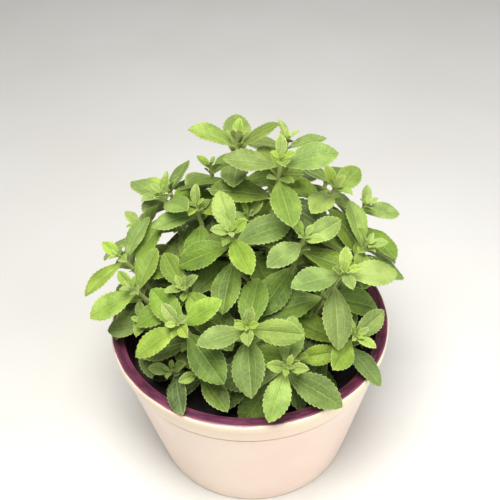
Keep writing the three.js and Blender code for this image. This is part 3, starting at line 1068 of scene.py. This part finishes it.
# The rows of one tooth, and how far the edge stands out there, in tooth depths.
TOOTH_ROWS = np.array([0.0, 0.3, 0.62, 0.86])
TOOTH_RISE = np.array([-0.5, 0.2, 0.8, 1.0])
LAST_NOTCH = -0.4


def leaf_rows(grid, teeth):
    """Shares along the leaf and how far the edge stands out there, in tooth depths."""
    plain = np.linspace(0, TEETH_START, grid.stalk_rows, endpoint=False)
    step = (TEETH_END - TEETH_START) / teeth
    toothed = (TEETH_START + (np.arange(teeth)[:, None] + TOOTH_ROWS) * step).ravel()
    shares = np.concatenate([plain, toothed, [TEETH_END, LAST_ROW]])
    rise = np.concatenate([np.zeros(grid.stalk_rows), np.tile(TOOTH_RISE, teeth), [LAST_NOTCH, 0.0]])
    return shares, rise


print("rows of a nine-toothed leaf:", len(leaf_rows(LEAF_GRID, 9)[0]))

# %% [markdown]
# ### A leaf's faces
# The two skins are two grids. A strip on each side joins their edges into a thin rim, all rows close
# in one tip point, and a last face closes the stalk's end, which is sunk in the stem.

# %% Leaf faces
UPPER, UNDER, BARK, DOWN_HAIR = 0, 1, 2, 3


def leaf_faces(grid, rows):
    """Faces of one leaf with so many rows, as (faces, material) blocks. The tip point comes last."""
    top, under = len(grid.top), len(grid.under)
    first = rows * top
    tip = first + rows * under
    blocks = [
        (grid_faces(rows, top, flip=True), UPPER),
        (grid_faces(rows, under, first), UNDER),
    ]
    row = np.arange(rows - 1)
    for column_top, column_under, turn in ((0, 0, 1), (top - 1, under - 1, -1)):
        a, b = row * top + column_top, (row + 1) * top + column_top
        c, d = first + (row + 1) * under + column_under, first + row * under + column_under
        blocks.append((np.stack([a, d, c, b][::turn], axis=-1), UPPER))
    last = (rows - 1) * top + np.arange(top - 1)
    blocks.append((np.stack([last, np.full(top - 1, tip), last + 1], axis=-1), UPPER))
    last = first + (rows - 1) * under + np.arange(under - 1)
    blocks.append((np.stack([last, last + 1, np.full(under - 1, tip)], axis=-1), UNDER))
    a, b = (rows - 1) * top, first + (rows - 1) * under
    blocks.append((np.array([[a, b, tip], [b + under - 1, a + top - 1, tip]]), UPPER))
    stalk_end = list(range(top)) + list(range(first + under - 1, first - 1, -1))
    blocks.append((np.array([stalk_end]), UNDER))
    return blocks


print("a large leaf has", sum(len(b) for b, _ in leaf_faces(LEAF_GRID, 46)), "faces")

# %% [markdown]
# ### Relief of a leaf
# A flat leaf looks like paper. Real blades fold up along the midrib, bulge between their nerves,
# sink along them and wave at the edge. Each of these is a small height, and each leaf draws its own
# amounts. The under side lies lower by the blade's thickness, and its ribs stand out.

# %% Leaf relief
SIDE_NERVE = 0.46
# Height in mm, and width as a share of the half width.
MIDRIB_GROOVE = (0.2, 0.07)
NERVE_GROOVE = (0.18, 0.06)
MIDRIB_RIDGE = (0.6, 0.1)
NERVE_RIDGE = (0.25, 0.06)
FOLD_ROUNDING = 0.01
FOLD_AT_EDGE = 0.905
BULGE = 0.085
EDGE_DROOP = 0.06
EDGE_WAVES = 2.3
PUCKER_HEIGHT = 0.14
PUCKER_STEP = 5.2
FULL_RELIEF_LENGTH = 30
FULL_THICKNESS_LENGTH = 16
EDGE_THICKNESS = 0.3
MIDDLE_THICKER = 0.35
STALK_THICKER = 1.1


def smooth(value, low, high):
    share = np.clip((value - low) / (high - low), 0, 1)
    return share * share * (3 - 2 * share)


def nerve(across, at, size):
    """A groove or ridge that runs at a share of the half width."""
    height, width = size
    return height * np.exp(-(((np.abs(across) - at) / width) ** 2))


def upper_height(habit, length, share, across, half, opened):
    """How high the upper skin stands over the flat blade. opened is 0 on the stalk, 1 on the blade."""
    reach = np.abs(across)
    crease = (np.sqrt(reach**2 + FOLD_ROUNDING) - math.sqrt(FOLD_ROUNDING)) / FOLD_AT_EDGE
    fold = crease * LEAF_FOLD * habit["fold"] * half
    bulge = BULGE * half * np.sin(np.pi * reach) - EDGE_DROOP * half * reach**4
    sunk = nerve(across, 0, MIDRIB_GROOVE) + nerve(across, SIDE_NERVE, NERVE_GROOVE) * (1 - share)
    turns = EDGE_WAVES * share + habit["phase"] + 0.2 * np.sign(across)
    wave = habit["wave"] * length * reach**3 * np.sin(2 * np.pi * turns) * smooth(share, 0.2, 0.5)
    pucker = PUCKER_HEIGHT * np.sin(2 * np.pi * (share * length - 0.9 * reach * half) / PUCKER_STEP)
    pucker = pucker * reach * (1 - reach) * 4 * opened
    return fold + bulge + wave + (pucker - sunk * opened) * min(1.0, length / FULL_RELIEF_LENGTH)


def thickness(length, share, across, opened):
    """How far the under skin lies below the upper one, ribs and all."""
    inner = 1 - np.abs(across)
    thick = (EDGE_THICKNESS + MIDDLE_THICKER * inner) * (0.5 + 0.5 * opened)
    thick = thick + STALK_THICKER * (1 - opened) * inner
    rib = nerve(across, 0, MIDRIB_RIDGE) * (1 - 0.7 * share)
    rib = rib + nerve(across, SIDE_NERVE, NERVE_RIDGE) * (1 - share)
    relief = min(1.0, length / FULL_RELIEF_LENGTH)
    return thick * min(1.0, length / FULL_THICKNESS_LENGTH) + rib * relief * opened


print("thickness at a large leaf's midrib in mm:", round(thickness(50, 0.5, 0.0, 1.0), 2))

# %% [markdown]
# ### A leaf's points
# A tooth's rise is added at the outline's edge, and the blade is twisted about its midrib and bowed
# to one side. Every point keeps its mark for the shader: its share of the length, its place across,
# and half the width there in mm.

# %% Leaf points
TOOTH_DEPTH = 0.015
TOOTH_FROM = 0.75


def leaf_layer(blade, habit, shares, rise, columns, under):
    """Points of the upper or under side. habit holds what this leaf has drawn for itself."""
    share, across = np.meshgrid(shares, columns, indexing="ij")
    lift = np.broadcast_to(rise[:, None], share.shape)
    length = blade.length
    stalk = min(STALK_HALF_WIDTH, 0.04 * length)
    half = np.maximum(length * LEAF_WIDTH * habit["width"] * leaf_outline(share) / 2, stalk)
    tooth = lift * TOOTH_DEPTH * length * smooth(half, 0, 0.1 * length)
    out = across * half + np.sign(across) * tooth * smooth(np.abs(across), TOOTH_FROM, 1)
    out = out + habit["bow"] * length * share**2

    twist = habit["twist"] * share[..., None]
    facing = blade.facing(share)
    side = blade.side * np.cos(twist) + facing * np.sin(twist)
    face = facing * np.cos(twist) - blade.side * np.sin(twist)

    opened = smooth(half, stalk, 0.12 * length)
    height = upper_height(habit, length, share, across, half, opened)
    if under:
        height = height - thickness(length, share, across, opened)
    points = blade.midrib(share) + side * out[..., None] + face * height[..., None]
    marks = np.stack([share, across, half], axis=-1)
    return points.reshape(-1, 3), marks.reshape(-1, 3)


def leaf_solid(blade, habit, teeth, grid=LEAF_GRID):
    """All points of a leaf, their marks for the shader, and its faces."""
    shares, rise = leaf_rows(grid, teeth)
    top, top_marks = leaf_layer(blade, habit, shares, rise, grid.top, under=False)
    low, low_marks = leaf_layer(blade, habit, shares, rise, grid.under, under=True)
    bow = blade.side * habit["bow"] * blade.length
    tip = blade.midrib(1.0)[None] + bow
    points = np.vstack([top, low, tip])
    marks = np.vstack([top_marks, low_marks, [(1, 0, 0)]])
    return points, marks, leaf_faces(grid, len(shares))


class Parts:
    """Small closed solids gathered into the arrays of one mesh."""

    def __init__(self):
        self.points, self.blades, self.tones, self.faces, self.slots = [], [], [], [], []
        self.count = 0

    def add(self, points, marks, blocks, tone):
        for block, slot in blocks:
            self.faces += (block + self.count).tolist()
            self.slots += [slot] * len(block)
        self.points.append(points)
        self.blades.append(marks)
        self.tones.append(np.broadcast_to(tone, points.shape))
        self.count += len(points)


print("tooth depth of a 50 mm leaf in mm:", 50 * TOOTH_DEPTH)

# %% [markdown]
# ## Stems
# A young stem is green, faintly ribbed, and swells where a leaf pair joins it. It is a tube round
# the shoot's curve. The ring's two directions are carried along from ring to ring, so that the ribs
# run straight up without twisting.

# %% Stem tube
STEM_RINGS = 46
STEM_SIDES = 16
STEM_RIBS = 6
RIB_DEPTH = 0.05
STEM_SLIM = 0.86
NODE_SWELLING = 0.55
NODE_SHARPNESS = 60
TIP_NARROWS_FROM = 0.96
TIP_NARROWING = 0.55
BURIED = 12.0
TIP_POINT = 0.4
# A direction that no stem takes, from which the first sideways direction is found.
ASKEW = (0.3, 1.0, 0.1)


def stem_solid(stem):
    """A ribbed tube from under the soil to the shoot's tip, with its stations and faces."""
    shares = np.linspace(0, 1, STEM_RINGS)
    nodes = np.array([stem.station(rank[0]) for rank in RANKS])
    angles = ring_angles(STEM_SIDES)
    across = unit(np.cross(stem.tangent(0), ASKEW))
    rings = []
    for share in shares:
        tangent = stem.tangent(share)
        across = unit(across - tangent * (across @ tangent))
        over = np.cross(tangent, across)
        radius = STEM_SLIM * stem_radius(share)
        radius += NODE_SWELLING * np.exp(-(((share - nodes) * NODE_SHARPNESS) ** 2)).sum()
        radius *= 1 - TIP_NARROWING * smooth(share, TIP_NARROWS_FROM, 1)
        ribbed = radius * (1 + RIB_DEPTH * np.cos(STEM_RIBS * angles))
        way = np.cos(angles)[:, None] * across + np.sin(angles)[:, None] * over
        rings.append(stem.point(share) + ribbed[:, None] * way)
    foot = rings[0] - np.array([0, 0, BURIED + STRAIGHT_TO - SOIL_LEVEL])
    rings.insert(0, foot)
    top = stem.tip + stem.tangent(1) * TIP_POINT
    points = np.vstack(rings + [foot.mean(0)[None], top[None]])
    marks = np.zeros_like(points)
    marks[:, 0] = np.concatenate([np.repeat([0.0, *shares], STEM_SIDES), [0, 1]])
    return points, marks, [(faces, BARK) for faces in tube_faces(len(rings), STEM_SIDES)]


print("stem rings:", STEM_RINGS, "of", STEM_SIDES, "points")

# %% [markdown]
# ### Down
# Stevia's stems are downy, and against the light the down shows as a pale fringe. Each hair is a
# slim closed cone with its foot sunk in the stem. All hairs of a stem are made at once: a place on
# the stem, a direction that leans up, and a length are drawn for each.

# %% Stem hairs
HAIRS_TO_MM = 2.4
HAIR_STATIONS = (0.1, 0.995)
HAIR_LENGTHS = (0.5, 1.3)
HAIR_RADIUS = 0.05
HAIR_LEANS = (0.0, 0.7)


def stem_hairs(stem, draws):
    """The down of one stem, as points, marks and faces."""
    rise = np.linalg.norm(stem.tip - stem.foot)
    count = int(rise * HAIRS_TO_MM)
    shares = np.sort(draws.uniform(*HAIR_STATIONS, count))
    axis = np.array([stem.tangent(share) for share in shares])
    middle = np.array([stem.point(share) for share in shares])
    side = unit(np.cross(axis, ASKEW))
    over = np.cross(axis, side)
    angle = draws.uniform(0, 2 * math.pi, count)[:, None]
    out = np.cos(angle) * side + np.sin(angle) * over
    round_it = np.cross(axis, out)
    radius = STEM_SLIM * stem_radius(shares)[:, None]
    foot = middle + out * (radius - 2 * HAIR_RADIUS)
    lean = draws.uniform(*HAIR_LEANS, count)[:, None]
    tips = foot + unit(out + axis * lean) * draws.uniform(*HAIR_LENGTHS, count)[:, None]
    corners = [
        foot + HAIR_RADIUS * (math.cos(turn) * axis + math.sin(turn) * round_it)
        for turn in ring_angles(3)
    ]
    points = np.stack(corners + [tips], axis=1).reshape(-1, 3)
    first = np.arange(count)[:, None, None] * 4
    faces = (np.array([(0, 1, 3), (1, 2, 3), (2, 0, 3), (0, 2, 1)])[None] + first).reshape(-1, 3)
    marks = np.zeros_like(points)
    marks[:, 0] = np.repeat(shares, 4)
    return points, marks, [(faces, DOWN_HAIR)]


print("hairs to each millimetre of stem:", HAIRS_TO_MM)

# %% [markdown]
# ### Small leaves
# A shoot ends in a knot of tiny leaves that are still folded, and many leaf pairs carry leaflets in
# the angle with the stem, where a side shoot begins. They make a plant look alive.

# %% Small leaves
# Length in mm, angle from the stem, and quarter turns from the top leaf pair.
TIP_PAIRS = [(11.0, 40, 1), (7.5, 26, 2), (4.6, 12, 3)]
TIP_PAIR_BELOW = 0.4
TIP_TEETH = 3
TIP_AGE = 0.06
AXIL_CHANCE = 0.66
AXIL_LENGTHS = (7, 17)
AXIL_PITCHES = (24, 58)
AXIL_SWINGS = (25, 60)
AXIL_ABOVE = 1.5
AXIL_TEETH = 4
AXIL_AGE = 0.25
SMALL_SAG = 0.1


def habit_of(draws, young):
    """What one leaf draws for itself: how folded, wide, wavy, twisted and bowed it is."""
    return {
        "fold": draws.uniform(1.3, 1.9) if young else draws.uniform(0.7, 1.3),
        "width": draws.uniform(0.98, 1.14),
        "wave": draws.uniform(0.004, 0.014),
        "phase": draws.random(),
        "twist": math.radians(draws.uniform(-16, 16)),
        "bow": draws.uniform(-0.035, 0.035),
    }


def add_small_leaf(parts, blade, teeth, age, draws):
    solid = leaf_solid(blade, habit_of(draws, True), teeth, LEAFLET_GRID)
    parts.add(*solid, (draws.random(), age, blade.length))


def small_blade(stem, below, bearing, pitch, length, draws):
    leaf = {"bearing": bearing, "pitch": pitch, "roll": draws.uniform(-10, 10), "sag": SMALL_SAG}
    return Blade(stem, below, leaf, 0, 0, length)


def add_axil_leaves(parts, stem, rank, parent, shade, draws):
    """A leaflet on each side of a leaf, in its angle with the stem."""
    bearing = math.degrees(math.atan2(parent.ahead[1], parent.ahead[0]))
    for side in (-1, 1):
        length = draws.uniform(*AXIL_LENGTHS) * stem.size
        way = bearing + side * draws.uniform(*AXIL_SWINGS)
        pitch = draws.uniform(*AXIL_PITCHES)
        blade = small_blade(stem, RANKS[rank][0] - AXIL_ABOVE, way, pitch, length, draws)
        add_small_leaf(parts, blade, AXIL_TEETH, AXIL_AGE + shade, draws)


def add_tip_leaves(parts, stem, shade, draws):
    """The folded pairs at a shoot's tip, each a quarter turn from the last."""
    for length, pitch, quarter in TIP_PAIRS:
        for half in (0, 180):
            way = stem.turn + 90 + quarter * 90 + half + draws.uniform(-12, 12)
            size = length * stem.size * draws.uniform(0.9, 1.15)
            blade = small_blade(stem, TIP_PAIR_BELOW, way, pitch + draws.uniform(-6, 6), size, draws)
            add_small_leaf(parts, blade, TIP_TEETH, TIP_AGE + shade, draws)


print("small leaves at each tip:", 2 * len(TIP_PAIRS))

# %% [markdown]
# ### A whole shoot
# Each leaf gets a tone for the shader: a random value, its age and its length. Age grows from the
# tip down, and low shoots, which stand in the shade of the others, are coloured older and darker
# all over, which is painted shade.

# %% Whole shoots
FINE_TEETH = (5, 8, 9, 9, 9, 8, 7)
AGES = (0.12, 0.3, 0.5, 0.68, 0.84, 0.95, 1.0)
STEM_AGE = 0.5
LIT_ABOVE = 185.0
SHADED_BELOW = 165.0
PAINTED_SHADE_AGE = 0.4


def grow_shoot(number, stem, own):
    """Stem, leaves, tip and axil leaflets of one shoot, gathered."""
    draws = np.random.default_rng(100 + number)
    parts = Parts()
    stem_tone = (draws.random(), STEM_AGE, 0)
    # Painted shade: low shoots get an older, darker colour, as they stand in the shade of the others.
    shade = PAINTED_SHADE_AGE * (1 - smooth(stem.tip[2], SHADED_BELOW, LIT_ABOVE))
    parts.add(*stem_solid(stem), stem_tone)
    parts.add(*stem_hairs(stem, draws), stem_tone)
    for rank, blade in own:
        age = AGES[rank] + shade + draws.uniform(-0.1, 0.1)
        solid = leaf_solid(blade, habit_of(draws, rank == 0), FINE_TEETH[rank])
        parts.add(*solid, (draws.random(), age, blade.length))
        if rank >= 1 and draws.random() < AXIL_CHANCE:
            add_axil_leaves(parts, stem, rank, blade, shade, draws)
    add_tip_leaves(parts, stem, shade, draws)
    return parts


shoots = [grow_shoot(k, stem, own) for k, (stem, own) in enumerate(zip(stems, leaves))]
print("points in the shoots:", sum(parts.count for parts in shoots))

# %% [markdown]
# ## Effect: leaf veins
# Stevia is three-nerved: a midrib and two long side nerves, joined by slanting veins and a fine net.
# Every point knows where on its leaf it lies, so the pattern is drawn in millimetres on the
# flattened blade and follows each fold. In the height, cells between the veins stand up like a quilt.

# %% Group: veins
# How far from its middle a line is still full, and where it ends, in mm.
MIDRIB_LINE = (0.25, 0.8)
SIDE_NERVE_LINE = (0.12, 0.5)
SLANTING_LINE = (0.1, 0.5)
EDGE_LINE = (0.25, 0.9)
SIDE_NERVE_ENDS = (0.95, 0.55)
SLANT = 0.8
SLANTING_STEP = 2.6
VEIN_WANDER = 3.0
LEAF_APART = 97.0


def build_veins():
    sockets = {"Blade": VECTOR, "Tone": VECTOR}
    outputs = {"Nerves": FLOAT, "Net": FLOAT, "Edge": FLOAT, "Height": FLOAT}
    tree, given, out = make_group("veins", sockets, outputs)
    share, across, half = tree.parts(given["Blade"])
    drawn, _, length = tree.parts(given["Tone"])
    reach = tree.without_sign(across)
    along, aside = tree.times(share, length), tree.times(across, half)
    off_midrib = tree.without_sign(aside)
    spot = tree.add("ShaderNodeCombineXYZ", {0: along, 1: aside, 2: tree.times(drawn, LEAF_APART)})

    midrib = tree.ramp(off_midrib, *MIDRIB_LINE, 1.0, 0.0)
    off_nerve = tree.without_sign(tree.times(tree.minus(reach, SIDE_NERVE), half))
    side_nerve = tree.ramp(off_nerve, *SIDE_NERVE_LINE, 0.75, 0.0)
    side_nerve = tree.times(side_nerve, tree.ramp(share, *SIDE_NERVE_ENDS))
    wander = tree.times(tree.noise(spot, 0.35, 2.0), VEIN_WANDER)
    slant = tree.plus(tree.minus(along, tree.times(off_midrib, SLANT)), wander)
    slanting = tree.ramp(tree.math("PINGPONG", slant, SLANTING_STEP), *SLANTING_LINE, 0.5, 0.0)
    nerves = tree.larger(tree.larger(midrib, side_nerve), slanting)

    inputs = {"Vector": spot, "Scale": 0.6}
    cells = tree.add("ShaderNodeTexVoronoi", inputs, feature="DISTANCE_TO_EDGE")
    to_edge = tree.times(tree.minus(1.0, reach), half)
    quilt = tree.times(tree.ramp(cells, 0.0, 0.35), 0.6)
    tree.fill(out["Nerves"], nerves)
    tree.fill(out["Net"], tree.ramp(cells, 0.03, 0.16, 1.0, 0.0))
    tree.fill(out["Edge"], tree.ramp(to_edge, *EDGE_LINE, 1.0, 0.0))
    tree.fill(out["Height"], tree.minus(quilt, tree.times(nerves, 0.6)))
    return tree.tree


veins = build_veins()
print("group:", veins.name)

# %% [markdown]
# ## Effect: leaf green
# Green tells a leaf's age: yellow and pale at the tip of a shoot, full below, dull and bluish at the
# foot. The old green is dark as well, which is painted shade on the low leaves deep in the bush. The
# group mixes three greens by age, then shifts hue, saturation and value by the leaf's own random
# value. Two of them multiply it and keep the part after the point, so that they differ.

# %% Group: leaf green
PATCH_AGEING = 0.35
GROWN_FADE = (0.0, 0.45)
OLD_AND_SHADED_FADE = (0.4, 1.0)
# For hue, saturation and value: what the drawn value is multiplied by, and the range of the shift.
LEAF_SHIFTS = [(1.0, 0.489, 0.505), (7.3, 0.86, 1.06), (3.7, 0.82, 1.08)]


def build_leaf_green():
    sockets = {"Tone": VECTOR, "Patch": 0.5, "Young": COLOUR, "Grown": COLOUR, "Old": COLOUR}
    tree, given, out = make_group("leaf_green", sockets, {"Colour": COLOUR})
    drawn, age, _ = tree.parts(given["Tone"])
    aged = tree.plus(age, tree.round_zero(given["Patch"], PATCH_AGEING))
    colour = tree.mix(tree.ramp(aged, *GROWN_FADE), given["Young"], given["Grown"])
    colour = tree.mix(tree.ramp(aged, *OLD_AND_SHADED_FADE), colour, given["Old"])
    shifted = tree.add("ShaderNodeHueSaturation", {3: 1.0, 4: colour})
    for socket, (spread, low, high) in enumerate(LEAF_SHIFTS):
        part = tree.math("FRACT", tree.times(drawn, spread))
        tree.fill(shifted.inputs[socket], tree.ramp(part, 0.0, 1.0, low, high))
    tree.fill(out["Colour"], shifted)
    return tree.tree


leaf_green = build_leaf_green()
print("group:", leaf_green.name)

# %% [markdown]
# ## Leaf materials
# The upper face is the greener one; the under face is pale and duller, with its nerves standing out.
# Fine hairs cover the whole plant: too fine to model, but their effect is a pale haze at grazing
# angles, which is what sheen is. A little light scatters through the thin blade.

# %% Leaf materials
YOUNG_GREEN = srgb(150, 178, 74)
GROWN_GREEN = srgb(110, 138, 46)
# The old green is partly painted shade: darker for the low leaves deep in the bush.
OLD_AND_SHADED_GREEN = srgb(54, 75, 30)
NERVE_GREEN = srgb(190, 206, 118)
UNDER_YOUNG = srgb(182, 202, 108)
UNDER_GROWN = srgb(154, 176, 98)
UNDER_OLD = srgb(126, 146, 84)
DOWN = srgb(232, 240, 205)
DOWNY_SETTINGS = {
    "Sheen Roughness": 0.45,
    "Sheen Tint": DOWN,
    "Specular IOR Level": 0.32,
    "Subsurface Weight": 0.12,
    "Subsurface Radius": (0.8, 1.0, 0.25),
    "Subsurface Scale": 0.003,
}
ROUGHNESS_SPREAD = 0.14
EDGE_PALENESS = 1.3
PALE_STALK = (0.22, 0.05)
DOWN_HEIGHT = 0.15


def make_downy(shader, sheen):
    """Constant settings that every hairy green surface shares."""
    for label, value in {"Sheen Weight": sheen, **DOWNY_SETTINGS}.items():
        shader[label].default_value = value


def leaf_material(name, greens, nerve_share, net_share, roughness, sheen, relief):
    material, tree, shader = make_material(name, greens[1])
    blade, tone = tree.read("blade"), tree.read("tone")
    marks = mottled(tree, tree.place(), 60.0, 900.0, 0.25)
    ages = dict(zip(("Young", "Grown", "Old"), greens))
    green = tree.group(leaf_green, {"Tone": tone, "Patch": marks["Mask"], **ages})["Colour"]
    net = tree.group(veins, {"Blade": blade, "Tone": tone})
    nerves = tree.larger(net["Nerves"], tree.times(net["Edge"], EDGE_PALENESS))
    stalk = tree.ramp(tree.parts(blade)[0], *PALE_STALK, 0.0, 0.5)
    pale = tree.larger(tree.times(nerves, nerve_share), stalk)
    colour = tree.layers(green, (NERVE_GREEN, net["Net"], net_share), (NERVE_GREEN, pale, 1.0))
    rough = tree.between(marks["Mask"], roughness, roughness + ROUGHNESS_SPREAD)
    height = tree.plus(tree.times(net["Height"], relief), tree.times(marks["Height"], DOWN_HEIGHT))
    dress(tree, shader, colour, rough, height, 0.9, 0.0006)
    make_downy(shader, sheen)
    return material


upper = leaf_material(
    "leaf_upper", (YOUNG_GREEN, GROWN_GREEN, OLD_AND_SHADED_GREEN),
    nerve_share=0.26, net_share=0.06, roughness=0.46, sheen=0.15, relief=0.7,
)
under = leaf_material(
    "leaf_under", (UNDER_YOUNG, UNDER_GROWN, UNDER_OLD),
    nerve_share=0.5, net_share=0.25, roughness=0.66, sheen=0.25, relief=-1.0,
)
print("leaf materials:", upper.name, under.name)

# %% [markdown]
# ## Stem and down materials
# A stem is pale green and browns towards its foot. The hairs themselves are almost white, and
# greener low on the stem.

# %% Stem and down materials
STEM_GREEN = srgb(166, 174, 100)
STEM_FOOT_BROWN = srgb(120, 112, 66)
BROWN_FOOT = (0.35, 0.0)


def stem_material():
    material, tree, shader = make_material("stem_skin", STEM_GREEN)
    marks = mottled(tree, tree.place(), 90.0, 1500.0, 0.4)
    brown = tree.ramp(tree.parts(tree.read("blade"))[0], *BROWN_FOOT)
    layers = [(STEM_FOOT_BROWN, brown, 1.0), (NERVE_GREEN, marks["Mask"], 0.4)]
    rough = tree.between(marks["Mask"], 0.5, 0.7)
    dress(tree, shader, tree.layers(STEM_GREEN, *layers), rough, marks["Height"], 0.5, 0.0004)
    make_downy(shader, 0.35)
    return material


def hair_material():
    material, tree, shader = make_material("pale_down", DOWN)
    share = tree.parts(tree.read("blade"))[0]
    tree.fill(shader["Base Color"], tree.mix(share, NERVE_GREEN, DOWN))
    shader["Roughness"].default_value = 0.6
    return material


bark = stem_material()
down_hair = hair_material()
print("stem materials:", bark.name, down_hair.name)

# %% [markdown]
# ## Assembling the bush
# Every shoot becomes one piece that stands for its plain packed shoot. Edges sharper than a given
# angle, such as a leaf's rim, are kept crisp, and all else is shaded smooth.

# %% Shoots into the scene
CRISP_EDGE = math.radians(55)


def stand_shoot(number, parts):
    values = {"blade": np.vstack(parts.blades), "tone": np.vstack(parts.tones)}
    materials = [upper, under, bark, down_hair]
    name = f"stevia_shoot_{number:02d}"
    piece = make_mesh(name, np.vstack(parts.points), parts.faces, materials, parts.slots, values)
    piece.data.set_sharp_from_angle(angle=CRISP_EDGE)
    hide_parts(f"leafy_stem_{number:02d}")
    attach(piece, "root")
    return piece


bush = [stand_shoot(number + 1, parts) for number, parts in enumerate(shoots)]
triangles = sum(sum(len(p.vertices) - 2 for p in piece.data.polygons) for piece in bush + [pot, soil])
print("pieces:", len(bush) + 2, "triangles:", triangles)

# %% [markdown]
# ## Floor
# The pale floor belongs to the picture and not to the object. It is wide enough to have no edge in
# the view, and faintly mottled like any real floor.

# %% Floor
FLOOR_GREY = srgb(226, 224, 220)
FLOOR_WARM = srgb(221, 219, 213)
FLOOR_SIDE = 3000.0


def floor_material():
    material, tree, shader = make_material("pale_floor", FLOOR_GREY)
    patch = mottled(tree, tree.place(), 5.0, 300.0, 0.3)["Mask"]
    tree.fill(shader["Base Color"], tree.mix(patch, FLOOR_GREY, FLOOR_WARM))
    shader["Roughness"].default_value = 0.8
    return material


corners = [(x * FLOOR_SIDE, y * FLOOR_SIDE, 0) for x, y in ((-1, -1), (1, -1), (1, 1), (-1, 1))]
floor = make_mesh("floor", corners, [(0, 1, 2, 3)], [floor_material()])
floor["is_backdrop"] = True
print("floor side in m:", 2 * FLOOR_SIDE * MM)

# %% [markdown]
# ## Light and sky
# One large soft light from above and in front gives each leaf a bright half and a shaded half, a
# weak one from the right opens the shadows, and an even pale sky does the rest.

# %% Light and sky
PLANT_MIDDLE = (0.0, 0.0, 0.2)
SKY = (0.93, 0.96, 1.0, 1.0)
SKY_STRENGTH = 0.22


def add_light(name, place, size, watts, colour):
    """A square light of a size in metres that looks at the middle of the plant."""
    data = bpy.data.lights.new(name, "AREA")
    data.shape = "SQUARE"
    data.size, data.energy, data.color = size, watts, colour
    light = bpy.data.objects.new(name, data)
    light.location = place
    light.rotation_euler = (Vector(PLANT_MIDDLE) - Vector(place)).to_track_quat("-Z", "Y").to_euler()
    bpy.context.scene.collection.objects.link(light)


add_light("key", (-0.08, -0.38, 1.4), size=0.7, watts=27, colour=(1.0, 0.985, 0.955))
add_light("fill", (1.0, -0.8, 0.9), size=1.2, watts=10, colour=(0.95, 0.98, 1.0))

world = bpy.data.worlds.new("pale_sky")
world.use_nodes = True
world.node_tree.nodes["Background"].inputs[0].default_value = SKY
world.node_tree.nodes["Background"].inputs[1].default_value = SKY_STRENGTH
bpy.context.scene.world = world
bpy.context.scene.view_settings.view_transform = "Standard"

# %% [markdown]
# ## Measure and finish
# The finished object must fill the packed model's box and no more, so both boxes are written down.

# %% Sizes
finished_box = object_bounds()
sizes = {"packed": [list(c) for c in model_box], "finished": [list(c) for c in finished_box]}
for label, corners in sizes.items():
    print(label, [[round(c / MM, 1) for c in corner] for corner in corners])
